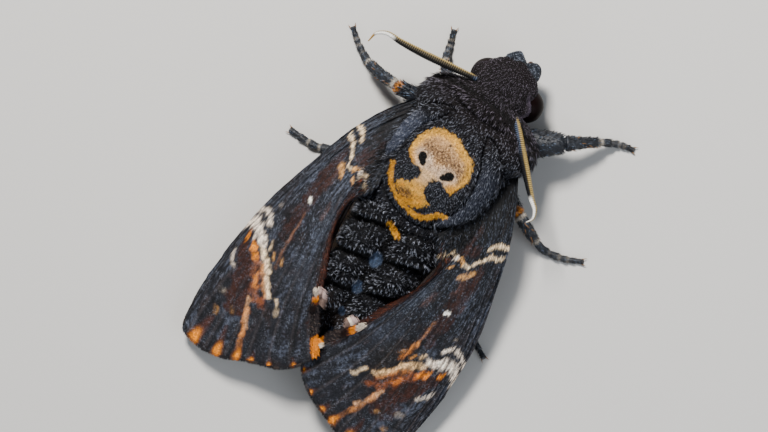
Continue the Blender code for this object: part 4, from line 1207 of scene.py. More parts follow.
def coat_tints(roots, out, lay, length):
    """Colours of the tufts at root and tip.

    The body's own colour where each tuft's middle lies, with pale tips, painted highlights on the
    hairs, where fine noise is high; none on the bright marks, hardly any between rings, and hardly
    any in creases, where painted shade falls. Roots are painted darker than tips, as shade among the
    hairs. Brown hairs break up the skull, more of them in its grey parts."""
    x, y, up = roots[:, 0], roots[:, 1], out[:, 2]
    count = len(y)
    base = body_tint(roots + lay * (0.4 * length)[:, None], out)
    head = 1 - ease(y, -12.5, -7)
    belly = ease(y, 8.5, 11)
    bright = base.sum(-1) > BRIGHT
    dots = wave_noise(x + 0.6 * roots[:, 2], y, 0.26, 75) * (1 - belly)
    dots = dots + wave_noise(x, y - 0.7 * roots[:, 2], 0.42, 76) * belly
    chance = ease(dots, 0.0, 0.6) * (0.75 + 0.2 * belly)
    chance = np.where(bright | (base.sum(-1) < 0.006), 0.0, chance)
    # Fewer painted highlights in the creases: painted shade
    chance = chance * (1 - 0.8 * thorax_creases(x, y) * (y < 11) * (up > 0.2))
    ring = ring_part(x, y, ease(up, -0.1, 0.4))
    gap = 1 - ease(ring, 0.08, 0.34) * (1 - ease(ring, 0.78, 0.92))
    chance = chance * (1 - 0.9 * belly * np.maximum(gap, hump(x, -0.2, 1.2) * (up > 0.3)))
    # The pale tips of some tufts are painted highlights on the hairs, mauve on the head
    glow = FROST_HIGHLIGHT * (1 - head)[:, None] + FROST_MAUVE_HIGHLIGHT * head[:, None]
    strong = ((rng.random(count) < chance) * rng.uniform(0.35, 1.0 + 0.3 * belly, count))[:, None]
    base = np.where(bright[:, None], base, base * (1 - 0.35 * ease(-dots, -0.1, 0.8))[:, None])
    shade = rng.uniform(0.65, 1.25, count)[:, None] ** (1 + head[:, None])
    brown = bright & (rng.random(count) < 0.14 + 0.6 * skull_grey(x, y)) & (up > 0.3)
    base = np.where(brown[:, None], base * (0.36, 0.31, 0.27), base)
    # Roots painted darker than tips, as shade among the hairs, least on the bright marks and most on the
    # head
    root_tint = base * shade * np.where(bright, 0.8, 0.4 - 0.2 * head)[:, None]
    return root_tint, base * shade * (1 - strong) + glow * strong


def grow_coat():
    """Scatter tufts over the whole skin by the coat's rule and make them up as pieces."""
    y, turn = scatter_roots()
    roots = body_skin(y, turn)
    out, along = body_normals(y, turn)
    _, length, width = coat_rule(roots, out)
    lay = coat_lay(roots, out, along, turn)
    length = length * rng.uniform(0.7, 1.3, len(y))
    root_tint, tip_tint = coat_tints(roots, out, lay, length)
    upright = ease(y, 9, 12) * ease(out[:, 2], 0.0, 0.4) * (1 - 0.9 * median_patch(roots[:, 0], y))
    lift = rng.uniform(0.40, 0.75, len(y)) + 0.55 * upright
    lean = 1.0 - 0.80 * upright
    place = np.stack([(turn + math.pi / 2) / FULL, (y - FACE_Y) / (TAIL_Y - FACE_Y)], 1)
    region = np.where(y < COAT_EDGES[0], 0, np.where(y < COAT_EDGES[1], 1, 2))
    for index, part in enumerate(("head", "thorax", "abdomen")):
        chosen = np.flatnonzero(region == index)
        for number, some in enumerate(np.array_split(chosen, math.ceil(len(chosen) / PIECE_TUFTS))):
            tuft_piece(f"{part}_coat_{number + 1}", roots[some], out[some], lay[some], length[some],
                       width[some], root_tint[some], tip_tint[some], place[some], part + "_fur",
                       lift[some], lean[some])


grow_coat()


# Eyes, palps, tongue and feelers

def horn_material(name, colour, roughness, scale, bump, ior=1.3):
    """Bare horn of one colour with fine cells in relief, scale of them to the metre."""
    material, tree, surface = node_material(name)
    place = add_node(tree, "TexCoord")
    cells = add_node(tree, "TexVoronoi", {"Scale": scale})
    relief = add_node(tree, "Bump", {"Strength": bump, "Distance": 0.00005}, invert=True)
    tree.links.new(place.outputs["Object"], cells.inputs["Vector"])
    tree.links.new(cells.outputs["Distance"], relief.inputs["Height"])
    tree.links.new(relief.outputs["Normal"], surface.inputs["Normal"])
    surface.inputs["Base Color"].default_value = (*colour, 1)
    surface.inputs["Roughness"].default_value = roughness
    surface.inputs["IOR"].default_value = ior
    return material


EYE = horn_material("eye_glaze", hue(15, 7, 7), 0.38, 9000.0, 0.12, 1.12)
HORN = horn_material("dark_horn", hue(62, 40, 28), 0.35, 5000.0, 0.2)
CLAW = horn_material("pale_claw", hue(128, 92, 58), 0.4, 3000.0, 0.1)


def ball(centre, radius, rows=64, sides=84):
    """Rings of a ball standing on its poles: sines and cosines of the way down and round."""
    down = np.linspace(0.02, math.pi - 0.02, rows)[:, None]
    turn = turns_of(sides)[None, :]
    shape = np.stack([np.sin(down) * np.cos(turn), np.sin(down) * np.sin(turn),
                      -np.cos(down) + 0 * turn], -1)
    return shape * radius + centre


for (side_name, _, _), centre in zip(SIDES, EYE_CENTRES):
    points, faces, uv = closed_tube(ball(centre, EYE_RADIUS))
    eye = make_piece("eyeball_" + side_name, points, faces, EYE)
    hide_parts("eye_" + side_name)


# Path of the left palp and its radius, and how far it has twisted at its end
PALP_PATH = [(1.3, -17.6, 3.6), (1.5, -19.7, 4.0), (1.65, -20.7, 5.4), (1.55, -21.0, 7.7)]
PALP_RADII = [0.9, 1.25, 1.4, 1.45, 1.4]
PALP_TWIST = math.radians(37)
# The palps' slate, and the pale colour of the painted glints among their tufts
PALP_BLUE, PALP_GLINT = hue(80, 88, 102), hue(150, 160, 178)
PALP_TUFTS = 2600


def palp_skin(at, angle, side):
    """Points of a palp at a share of its length and a turn, with outward and lengthwise directions.

    A box-like tube that broadens to a blunt end and twists about its own middle."""
    centre = curve(PALP_PATH, at)
    ahead = curve(PALP_PATH, np.minimum(at + 0.02, 1.0))
    along = unit(ahead - curve(PALP_PATH, np.maximum(at - 0.02, 0.0)))
    across = unit(np.cross(along, (1.0, 0.0, 0.0)))
    blunt_end = np.sqrt(1 - np.maximum(at - 0.86, 0) ** 2 / 0.02)
    radius = (along_values(PALP_RADII, at) * blunt_end)[..., None]
    turned = (PALP_TWIST * ease(at, 0.4, 0.8))[..., None]
    wide = np.stack([np.ones_like(at), 0 * at, 0 * at], -1)
    wide, across = (np.cos(turned) * wide - np.sin(turned) * across,
                    np.sin(turned) * wide + np.cos(turned) * across)
    aside, above = np.cos(angle)[..., None], np.sin(angle)[..., None]
    out = unit(wide * aside + across * above)
    point = centre + radius * (0.95 * wide * signed_power(aside, 0.5)
                               + across * signed_power(above, 0.5))
    flip = np.array([side, 1.0, 1.0])
    return point * flip, out * flip, along * flip


def build_palp(name, side):
    """A palp's skin and its coat, slate tufts with painted glints among them; the right palp is painted
    darker, as shade, with fewer glints.
    """
    at, turn = np.meshgrid(np.linspace(0, 1, 40), turns_of(36), indexing="ij")
    points, faces, uv = closed_tube(palp_skin(at, turn * side, side)[0])
    # The skin under the tufts is painted dark: painted shade among the hairs
    palp = make_piece("palp_skin_" + name, points, faces, SKIN,
                      plain(PALP_BLUE * 0.35, points[:, 0]), uv)
    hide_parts("palp_" + name)

    count = PALP_TUFTS
    at, flat = rng.uniform(0, 1, count) ** 0.9, rng.uniform(-0.95, 0.95, count)
    turn = np.arcsin(flat * np.abs(flat)) + rng.integers(0, 4, count) * math.pi / 2
    root, out, along = palp_skin(at, turn, side)
    end = ease(at, 0.8, 1.0)[:, None]
    out = unit(out * (1 - 0.6 * end) + along * end * 0.8)
    # The right palp is painted darker and gets fewer painted glints: painted shade
    shade, share = (0.85, 0.2) if side > 0 else (0.6, 0.12)
    colour = PALP_BLUE * (rng.uniform(0.2, 1.2, (count, 1)) * shade)
    colour = np.where(rng.random((count, 1)) < share, PALP_GLINT, colour)
    lay = unit(along + 0.25 * rng.normal(size=(count, 3)))
    lay = unit(lay - out * np.sum(lay * out, -1, keepdims=True) * 0.8)
    place = np.stack([0.25 * (side < 0) + 0.25 * turn / FULL, at], 1)
    length = rng.uniform(0.35, 0.6, count) * (1 + 0.8 * end[:, 0])
    width = rng.uniform(0.06, 0.09, count)
    # Roots painted darker than tips: painted shade among the hairs
    tuft_piece("palp_coat_" + name, root, out, lay, length, width, colour * 0.4, colour, place,
               "palp_scales", 0.3)


def build_tongue():
    """The coiled tongue: a ridged tube along a flat spiral that widens by 1.25 mm a turn."""
    turns = np.linspace(0.0, 1.15, 220)
    radius, angle = 0.55 + 1.25 * turns, FULL * turns - 1.0
    path = np.stack([0 * turns, -20.3 + radius * np.cos(angle), 2.95 + radius * np.sin(angle)], 1)
    aside = np.array([1.0, 0.0, 0.0])
    above = np.cross(aside, unit(np.gradient(path, axis=0)))
    thick = 0.42 * np.linspace(0.6, 1.0, len(turns)) * (1 + 0.05 * np.sin(turns * 400))
    turn = turns_of(16, 0.5)[None, :, None]
    rings = path[:, None] + thick[:, None, None] * (np.cos(turn) * aside
                                                   + np.sin(turn) * above[:, None])
    points, faces, _ = closed_tube(rings)
    tongue = make_piece("tongue", points, faces, HORN)
    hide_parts("proboscis")


for side_name, _, side in SIDES:
    build_palp(side_name, side)
build_tongue()

# Paths of the feelers, both given as if on the left, and the radius along them
FEELER_LEFT = [(3.6, -15.1, 8.8), (5.2, -14.8, 9.6), (9.5, -13.9, 10.6), (14.0, -13.0, 11.4),
               (17.9, -12.4, 11.9), (20.6, -12.1, 12.0), (21.9, -11.1, 11.9), (22.3, -9.2, 11.6)]
FEELER_RIGHT = [(3.6, -14.3, 8.8), (5.1, -13.4, 9.6), (8.4, -10.7, 10.6), (11.8, -7.9, 11.4),
                (15.0, -5.3, 11.9), (16.8, -3.9, 12.0), (17.2, -2.8, 11.9), (16.6, -1.6, 11.6)]
FEELER_RADII = [0.46, 0.62, 0.74, 0.77, 0.71, 0.58, 0.38, 0.10]
FEELER_RINGS = 60
GOLDEN, PALE_HORN = hue(188, 160, 94), hue(244, 242, 236)
OLIVE, HOOK_TAN = hue(84, 75, 56), hue(158, 122, 66)
FEELER_BLACK, FEELER_BLUE = hue(13, 13, 16), hue(96, 112, 140)


def feeler_tint(at, turn, beat, side):
    """Colours of a feeler by share of its length, turn about it and place within a ring.

    Black, with gold on the side that faces the front, olive beside it, blue-grey on the other
    edge near the root, a white stretch on the back before the hook, and a tan hook."""
    right = side < 0
    front = math.radians(90 - 78 * side)
    facing = np.cos(turn - front) + 0 * at
    ringed = (0.04 + 0.96 * ease(np.sin(math.pi * beat), 0.62, 0.86))[..., None]
    edge = 0.44 if right else 0.60
    gold = ease(facing, edge, edge + 0.24) * ease(at, 0.03, 0.12)
    olive = ease(facing, -0.05, 0.45) * ease(at, 0.06, 0.2) * (not right)
    reach = 0.05 + 0.17 * right
    blue = hump(np.cos(turn - front - 1.3 * side), 1.0, 0.9) * (1 - ease(at, reach, 2 * reach))
    back = np.cos(turn - math.radians(90 + 50 * side))
    white_end = 0.905 + 0.08 * right
    white = ease(at, 0.725, 0.78) * (1 - ease(at, white_end, white_end + 0.035))
    hook = (0.25 if right else 1.0) * ease(at, 0.91, 0.94)
    tint = paint(plain(FEELER_BLACK, facing), OLIVE * ringed, olive)
    tint = paint(tint, GOLDEN * (0.25 + 0.75 * ringed), gold)
    tint = paint(tint, FEELER_BLUE * ringed, (1 - gold) * 0.7 * blue)
    tint = paint(tint, PALE_HORN, ease(back, 0.1, 0.4) * white)
    return paint(tint, HOOK_TAN, np.broadcast_to(hook, facing.shape))


def build_feeler(name, path, side):
    """Feeler: a slightly flattened tube ridged into rings, each swelling as half a sine wave."""
    at = np.linspace(0.0, 1.0, FEELER_RINGS * 8)[:, None]
    turn = turns_of(20, 0.5)[None, :]
    centre = curve(path, at[:, 0]) * (side, 1, 1)
    across, above = across_of(np.gradient(centre, axis=0))
    beat = np.mod(at * FEELER_RINGS, 1.0)
    thick = along_values(FEELER_RADII, at) * (0.84 + 0.20 * np.sin(math.pi * beat) ** 0.7)
    squash = 1 - 0.12 * np.cos(2 * turn)
    rings = centre[:, None] + (thick * squash)[..., None] * (
        np.cos(turn)[..., None] * across[:, None] + np.sin(turn)[..., None] * above[:, None])
    points, faces, _ = closed_tube(rings)
    made = make_piece("feeler_" + name, points, faces, FEELER, capped(feeler_tint(at, turn, beat, side)))
    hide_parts("antenna_" + name)


build_feeler("left", FEELER_LEFT, 1)
build_feeler("right", FEELER_RIGHT, -1)


# Legs

# Path from the body to the claws, thigh and shin radius
LEGS = {
    "fore_left": ([(5.2, -9.6, 5.0), (9.4, -11.9, 5.4), (11.6, -13.2, 2.9), (12.7, -14.5, 1.0),
                   (13.5, -16.3, 0.2), (14.3, -18.2, 0.2)], 1.25, 0.80),
    "fore_right": ([(-5.4, -9.4, 5.0), (-12.9, -14.9, 5.2), (-16.9, -18.2, 2.4), (-18.4, -19.2, 1.0),
                    (-20.2, -20.0, 0.2), (-22.0, -20.5, 0.2)], 2.25, 1.1),
    "mid_left": ([(7.3, -6.8, 4.6), (15.2, -5.6, 6.0), (22.0, -5.3, 2.2), (23.6, -5.5, 1.0),
                  (26.2, -6.6, 0.2), (28.6, -8.2, 0.2)], 1.45, 0.90),
    "mid_right": ([(-7.2, -2.6, 4.6), (-13.8, -1.2, 6.0), (-18.0, 1.0, 2.2), (-19.6, 1.6, 1.0),
                   (-23.0, 1.0, 0.2), (-26.4, -0.8, 0.2)], 1.45, 0.90),
    "hind_left": ([(5.8, 3.0, 4.4), (11.8, 1.2, 4.6), (14.8, 6.6, 2.1), (16.3, 8.4, 1.0),
                   (21.0, 11.4, 0.2), (26.9, 12.1, 0.2)], 1.35, 0.95),
    "hind_right": ([(-5.8, 4.0, 4.4), (-11.6, 7.0, 4.4), (-14.2, 14.4, 2.0), (-15.8, 16.6, 1.0),
                    (-19.2, 20.4, 0.2), (-22.9, 22.2, 0.2)], 1.35, 0.85)}
# The legs' blue-grey is painted top light, laid where a leg faces up
LEG_TOP_LIGHT_BLUE, LEG_BLACK, LEG_GLINT = hue(34, 40, 52), hue(13, 14, 19), hue(134, 156, 186)
KNEE_ORANGE, JOINT_CREAM = hue(226, 142, 28), hue(214, 202, 184)
# Ends of the five foot segments along the foot, and how pale each is ringed
SEGMENT_ENDS = np.array([0.0, 0.36, 0.56, 0.72, 0.85, 1.0])
SEGMENT_PALE = (0.5, 0.95, 0.85, 0.05, 0.2)
# Spurs of each pair of legs: share of the shin and length in mm
SPURS = {"fore": (), "mid": ((0.97, 1.7), (0.97, 1.3)),
         "hind": ((0.97, 1.7), (0.97, 1.3), (0.62, 1.4), (0.62, 1.1))}
LEG_TUFTS_PER_MM = 105


class Leg:
    """A leg's measures: knots along its path, the radius there and its colours."""

    def __init__(self, name, path, thigh, shin):
        """Measure the path along its bends and set the radius at eight places on it."""
        self.name, self.points, self.thigh = name, np.array(path), thigh
        self.pair = name.split("_")[0]
        chord = np.linalg.norm(np.diff(self.points, axis=0), axis=1)
        self.knots = np.concatenate([[0.0], np.cumsum(chord)])
        self.knee, self.ankle, self.end = self.knots[1], self.knots[2], self.knots[-1]
        self.places = [0.0, 0.5 * self.knee, 0.9 * self.knee, self.on_shin(0.25), self.ankle - 0.5,
                       self.ankle + 0.8, 0.5 * (self.ankle + self.end), self.end]
        foot = 1.3 if name == "hind_left" else 1.0
        self.radii = [thigh, thigh, 0.75 * thigh if thigh > 2 else 1.0, shin, 0.78,
                      0.68 * foot, 0.56 * foot, 0.36 * foot]

    def on_shin(self, share):
        """Length along the leg at a share of the shin."""
        return self.knee + share * (self.ankle - self.knee)

    def joints(self):
        """Ends of the five foot segments, the first as long as the next two."""
        return self.ankle + (self.end - self.ankle) * SEGMENT_ENDS

    def surface(self, at, turn):
        """Points, outward and lengthwise directions at a length and a turn about the leg.

        A tube whose radius swells along each foot segment, is drawn in at the knee and ankle and
        rounds off at the body; it lies on the floor and never dips under it."""
        centre = smooth_values(self.knots, self.points, at)
        ahead = smooth_values(self.knots, self.points, at + 0.5)
        along = unit(ahead - smooth_values(self.knots, self.points, at - 0.5))
        radius = smooth_values(self.places, self.radii, at)
        ends = self.joints()
        index = np.clip(np.searchsorted(ends, at, side="right") - 1, 0, 4)
        part = np.clip((at - ends[index]) / (ends[index + 1] - ends[index]), 0, 1)
        bead = 0.80 + 0.26 * ease(part, 0.0, 0.8) - 0.30 * ease(part, 0.93, 1.0)
        radius = radius * np.where(at > self.ankle, bead, 1.0)
        for gap in (self.knee, self.ankle):
            radius = radius * (1 - 0.35 * bell(at - gap, 0.22))
        radius = radius * np.sqrt(1 - 0.96 * np.clip(1 - at / 0.9, 0, 1) ** 2)
        centre[..., 2] = np.maximum(centre[..., 2], 0.86 * radius)
        side, above = across_of(along.reshape(-1, 3))
        out = side * np.cos(turn).reshape(-1, 1) + above * np.sin(turn).reshape(-1, 1)
        out = out.reshape(centre.shape)
        point = centre + out * radius[..., None]
        point[..., 2] = np.maximum(point[..., 2], 0.0)
        return point, out, along

    def point(self, place, turn):
        """One point with its outward and lengthwise directions."""
        return [part[0] for part in self.surface(np.array([place]), np.array([turn]))]

    def tint(self, at, out):
        """Blue-black with orange knees and cream joints, lighter blue-grey where it faces up as painted
        top light, and the fore right leg painted darker as shade.
        """
        # Blue-grey where the leg faces up: painted top light
        colour = paint(plain(LEG_BLACK, at), LEG_TOP_LIGHT_BLUE, 0.75 * ease(out[..., 2], -0.2, 0.7))
        if self.pair != "fore":
            colour = paint(colour, KNEE_ORANGE, hump(at, self.knee - 0.5, 0.85))
            colour = paint(colour, JOINT_CREAM, hump(at, self.knee + 0.55, 0.5) * 0.8)
        colour = paint(colour, JOINT_CREAM, hump(at, self.ankle + 0.1, 0.75) * 0.9)
        for strong, place in zip(SEGMENT_PALE, self.joints()[1:]):
            strong = strong * (1.0 if self.pair == "hind" else 0.55)
            colour = paint(colour, JOINT_CREAM, hump(at, place, 0.45) * strong)
        # The fore right leg is painted a quarter darker, as shade
        colour = colour * (1 - 0.25 * (self.name == "fore_right"))
        return colour * (1 - 0.35 * ease(at, self.ankle + 1, self.ankle + 2))[..., None]


def spike(base, tip, thick, bend, sides=8, rows=10):
    """Rings of a thorn from base to tip, bent by a shift of its middle and thinned to its point."""
    at = np.linspace(0, 1, rows)[:, None]
    path = np.asarray(base) * (1 - at) + np.asarray(tip) * at + np.asarray(bend) * 4 * at * (1 - at)
    return tube_rings(path, thick * (1 - 0.92 * at[:, 0] ** 1.5), sides)


def joined(parts):
    """Points and faces of several closed tubes taken together."""
    points, faces, start = [], [], 0
    for rings in parts:
        more, sides, _ = closed_tube(rings)
        points.append(more)
        faces.append(sides + start)
        start += len(more)
    return np.concatenate(points), np.concatenate(faces)


def leg_claws(leg):
    """Two claws at the end of the foot, spread apart and reaching down to the floor."""
    claws, level = [], np.array([1, 1, 0])
    starts = leg.surface(np.full(2, leg.end - 0.1), np.array([0.0, math.pi]))
    for root, out, along in zip(*starts):
        tip = root * level + (0, 0, 0.16) + 0.6 * along * level + 0.28 * out * level
        claws.append(spike(root - 0.1 * along, tip, 0.10, (0, 0, 0.16)))
    return claws


def leg_spines(leg):
    """Spurs under the shin, nine spines along its top and short ones under the foot's joints."""
    spines = []
    for number, (share, length) in enumerate(SPURS[leg.pair]):
        root, out, along = leg.point(leg.on_shin(share), -1.0 if number % 2 else -2.1)
        tip = root + along * length * 0.85 + out * length * 0.35
        tip[2] = max(tip[2], 0.15)
        spines.append(spike(root - 0.2 * out, tip, 0.17, 0.05 * out))
    for share in np.linspace(0.15, 0.95, 9):
        root, out, along = leg.point(leg.on_shin(share), rng.uniform(-0.4, 3.4))
        tip = root + along * 0.6 + out * 0.42
        spines.append(spike(root - 0.1 * out, tip, 0.075, 0.03 * out, 6, 5))
    for place in np.concatenate([leg.joints()[1:5] - 0.1, leg.joints()[1:5] - 0.6]):
        for turn in (-0.7, -2.4):
            root, out, along = leg.point(place, turn)
            tip = root + along * 0.35 + out * 0.2
            tip[2] = max(tip[2], 0.03)
            spines.append(spike(root - 0.05 * out, tip, 0.05, (0, 0, 0), 5, 4))
    return spines


def leg_coat(leg, number):
    """Tufts of a leg: long on the thigh, short on the foot, flat where they would meet the floor."""
    count = int(leg.end * LEG_TUFTS_PER_MM)
    at = rng.uniform(0, 1, count) * (leg.end - 0.3)
    turn = rng.uniform(0, FULL, count)
    root, out, along = leg.surface(at, turn)
    keep = root[:, 2] > 0.12
    at, turn, root, out, along = at[keep], turn[keep], root[keep], out[keep], along[keep]
    count = len(at)
    thigh = 1 - ease(at, leg.knee - 1.2, leg.knee)
    foot = ease(at, leg.ankle - 0.5, leg.ankle + 0.5)
    length = (0.55 + 0.45 * thigh - 0.22 * foot) * (1 - 0.4 * (leg.thigh > 1.6) * thigh)
    length = length * rng.uniform(0.7, 1.3, count)
    length = np.minimum(length, 0.3 + root[:, 2])
    lay = unit(along + 0.2 * rng.normal(size=root.shape))
    lay[:, 2] = np.where((root[:, 2] < 0.7) & (lay[:, 2] < 0), 0.0, lay[:, 2])
    colour = leg.tint(at, out) * rng.uniform(0.6, 1.35, (count, 1))
    glint = (rng.random(count) < 0.13) * ease(out[:, 2], 0, 0.5)
    colour = paint(colour, LEG_GLINT, glint * rng.uniform(0.3, 0.9, count))
    place = np.stack([(number + turn / FULL) / len(LEGS), at / leg.end], 1)
    # The roots get half the tip colour: painted shade among the hairs
    return root, out, lay, length, 0.045 + 0.035 * length, colour * 0.5, colour, place


def build_leg(leg):
    """A leg's skin, claws and spines as three pieces."""
    at, turn = np.meshgrid(np.linspace(0, leg.end, 250), turns_of(22), indexing="ij")
    rings, out, _ = leg.surface(at, turn)
    points, faces, _ = closed_tube(rings)
    # The skin under the leg's tufts is painted darker, as shade among the hairs
    made = make_piece("leg_" + leg.name, points, faces, LEG, capped(leg.tint(at, out) * 0.7))
    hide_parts(*[f"leg_{leg.name}_{part}" for part in ("femur", "tibia", "tarsus")])
    for label, thorns in (("claws_", leg_claws(leg)), ("spines_", leg_spines(leg))):
        points, faces = joined(thorns)
        make_piece(label + leg.name, points, faces, CLAW)


leg_tufts = []
for number, (name, measures) in enumerate(LEGS.items()):
    leg = Leg(name, *measures)
    build_leg(leg)
    leg_tufts.append(leg_coat(leg, number))
tuft_piece("leg_coat", *gathered(leg_tufts), "leg_black", 0.42)


# Fringes and tufts of the wings

def wing_place(shape, side, u, v):
    """Points, outward, lengthwise and crosswise directions on a forewing's upper side."""
    step = 0.004
    ahead = wing_surface(shape, side, np.minimum(u + step, 1), v)
    behind = wing_surface(shape, side, np.maximum(u - step, 0), v)
    inner = wing_surface(shape, side, u, np.minimum(v + step, 1))
    outer = wing_surface(shape, side, u, np.maximum(v - step, 0))
    along, across = unit(ahead - behind), unit(inner - outer)
    out = unit(np.cross(along, across))
    out = out * np.sign(out[..., 2:])
    return wing_surface(shape, side, u, v) + out * SHEET * 0.42, out, along, across


def wing_tufts(shape, side, name, groups):
    """Tufts of a forewing: each group gives places, lay along and across, size, colours and lift."""
    made = []
    for u, v, forward, sideways, length, width, root_tint, tip_tint, lift in groups:
        point, out, along, across = wing_place(shape, side, u, v)
        lay = unit(along * forward[:, None] + across * sideways[:, None])
        place = np.stack([u, 0.5 * (side < 0) + 0.5 * v], 1)
        # Every group gives root colours darker than its tips: painted shade among the hairs
        made.append((point, out, lay, length, width, root_tint, tip_tint, place, lift))
    *parts, lift = gathered(made)
    tuft_piece("wing_fringe_" + name, *parts, "forewing_scales", lift)


# Tufts of each group on a forewing, before some are left out
MARGIN_TUFTS, INNER_TUFTS, ROOT_TUFTS, CORNER_TUFTS = 2600, 5200, 4200, 1300
# Colours of the wings' hairs; the white is that of painted highlights on some tips
FRINGE_PALE, HAIR_RED, HAIR_BLACK = hue(84, 70, 62), hue(88, 42, 25), hue(24, 22, 26)
HAIR_GREY, HAIR_GLINT_WHITE, CORNER_BLACK = hue(96, 82, 76), hue(170, 178, 200), hue(24, 25, 31)


def margin_fringe(side):
    """Short dark fringe along the outer edge, pale between the veins."""
    count = MARGIN_TUFTS
    v = rng.random(count)
    u = 1 - rng.random(count) * 0.008
    beat = np.abs(np.mod(v * 11 + 0.5, 1.0) - 0.5)
    colour = wing_tint(np.full(count, 0.98), v, side) * rng.uniform(0.6, 1.2, (count, 1))
    colour = paint(colour, FRINGE_PALE, 0.4 * (beat < 0.12))
    ones = np.ones(count)
    return (u, v, ones, 0.15 * rng.normal(size=count), rng.uniform(0.35, 0.75, count), 0.06 * ones,
            colour * 0.6, colour, 0.12 * ones)


def inner_fringe():
    """Long red-brown hairs along the inner edge, lying out over the abdomen."""
    count = INNER_TUFTS
    u = 0.04 + 0.93 * rng.random(count)
    v = 1 - 0.05 * rng.random(count) ** 1.5
    colour = HAIR_RED * (rng.random((count, 1)) ** 2.4 * 1.7 + 0.12)
    colour = paint(colour, HAIR_BLACK, ease(u, 0.60, 0.72) * 0.9)
    colour = paint(colour, HAIR_GREY, (rng.random(count) < 0.2) * ease(u, 0.62, 0.75))
    colour = paint(colour, AMBER * rng.uniform(0.7, 1.1, (count, 1)), ease(u, 0.885, 0.90))
    length = rng.uniform(0.5, 1.25, count) * (1 - 0.5 * ease(u, 0.86, 0.90))
    ones = np.ones(count)
    return (u, v, 0.9 + 0.2 * rng.normal(size=count), 0.75 * ones, length, 0.045 + 0.02 * length,
            colour * 0.5, colour, rng.uniform(0.2, 0.55, count))


def root_fur(side):
    """Furry root of the wing beside the thorax, speckled with painted highlights as the body's coat is,
    fewer on the right wing as painted shade.
    """
    count = ROOT_TUFTS
    u = 0.26 * rng.random(count) ** 1.8
    v = rng.random(count)
    keep = (u < 0.04 + 0.14 * ease(v, 0.35, 0.95)) & (u > 0.012)
    u, v = u[keep], v[keep]
    count = len(u)
    colour = wing_tint(u, v, side)
    # Painted highlights on some tips, fewer on the right wing, where painted shade falls
    pale = (rng.random(count) < (0.20 if side > 0 else 0.10)) * rng.uniform(0.2, 0.9, count)
    tip = paint(colour * rng.uniform(0.6, 1.1, (count, 1)), HAIR_GLINT_WHITE, pale * 0.8)
    length = rng.uniform(0.45, 0.95, count)
    return (u, v, np.ones(count), 0.3 * rng.normal(size=count), length, 0.03 + 0.03 * length,
            colour * 0.5, tip, rng.uniform(0.4, 0.8, count))


def corner_fur(side):
    """Long dark hair, some tips painted as highlights, over the inner corner of the wing's root, falling
    towards the abdomen.
    """
    count = CORNER_TUFTS
    u, v = 0.012 + 0.11 * rng.random(count) ** 1.3, 1 - 0.12 * rng.random(count) ** 1.2
    dark = CORNER_BLACK * rng.uniform(0.5, 1.2, (count, 1))
    # Painted highlights on some tips
    tip = paint(dark, HAIR_GLINT_WHITE, (rng.random(count) < 0.14) * rng.uniform(0.3, 0.9, count))
    marks = wing_tint(u, v, side)
    tip = np.where(marks.sum(-1, keepdims=True) > BRIGHT, marks, tip)
    length = rng.uniform(0.8, 1.7, count)
    ones = np.ones(count)
    return (u, v, 0.8 + 0.3 * rng.normal(size=count), 1.3 * ones, length, 0.04 + 0.02 * length,
            dark * 0.5, tip, rng.uniform(0.05, 0.5, count))


def brush(at, spread, count, colours, length, sideways=0.3, lift=0.9):
    """Raised brush of scales about a place on the wing, its colours in bands from the root on."""
    du, dv = rng.normal(0, spread[0], count), rng.normal(0, spread[1], count)
    u, v = np.clip(at[0] + du, 0, 1), np.clip(at[1] + dv, 0, 1)
    order = np.clip((du / spread[0] + 1.4) / 2.8, 0, 0.999)
    colour = np.array(colours)[(order * len(colours)).astype(int)] * rng.uniform(0.75, 1.15, (count, 1))
    ones = np.ones(count)
    return (u, v, ones, sideways + 0.25 * rng.normal(size=count), length * rng.uniform(0.7, 1.25, count),
            0.09 * ones, colour * 0.6, colour, lift * ones)


PINK, FAWN, SOOT = hue(196, 170, 164), hue(120, 98, 88), DARK_RUST * 0.5
# Centre on the wing, spread about it, tufts, colours from the root on and length of each brush;
# then how far sideways and how steeply it stands, where that differs from the others
BRUSHES = {
    "left": [((0.66, 0.982), (0.008, 0.009), 110, (PALE, PALE, PALE), 0.9),
             ((0.705, 0.988), (0.011, 0.007), 200, (AMBER, AMBER, RUST), 0.8),
             ((0.735, 0.975), (0.012, 0.012), 150, (SOOT, DARK_RUST, SOOT), 1.0),
             ((0.668, 0.998), (0.009, 0.004), 140, (PINK, PINK, FAWN), 1.2, 1.6, 1.2),
             ((0.695, 0.999), (0.016, 0.002), 240, (PINK, FAWN, FAWN), 2.3, 1.5, 0.6),
             ((0.945, 0.988), (0.022, 0.006), 300, (AMBER, AMBER, AMBER), 0.8, 0.2, 0.35),
             ((0.948, 0.999), (0.009, 0.003), 150, (AMBER, BAND, PALE), 1.15, 2.4, 0.3)],
    "right": [((0.66, 0.972), (0.009, 0.011), 110, (PALE, PALE, PALE), 0.9),
              ((0.71, 0.975), (0.010, 0.012), 130, (AMBER, AMBER, RUST), 0.9),
              ((0.745, 0.975), (0.012, 0.012), 150, (SOOT, DARK_RUST, SOOT), 1.0),
              ((0.72, 0.998), (0.018, 0.004), 260, (PINK, PALE, FAWN), 1.9, 2.2, 0.5),
              ((0.945, 0.985), (0.018, 0.006), 200, (AMBER, AMBER, AMBER), 0.8, 0.2, 0.35)]}
for side_name, shape, side in SIDES:
    brushes = [brush(*measures) for measures in BRUSHES[side_name]]
    fringes = [margin_fringe(side), inner_fringe(), root_fur(side), corner_fur(side)]
    wing_tufts(shape, side, side_name, fringes + brushes)


# Floor, light and camera

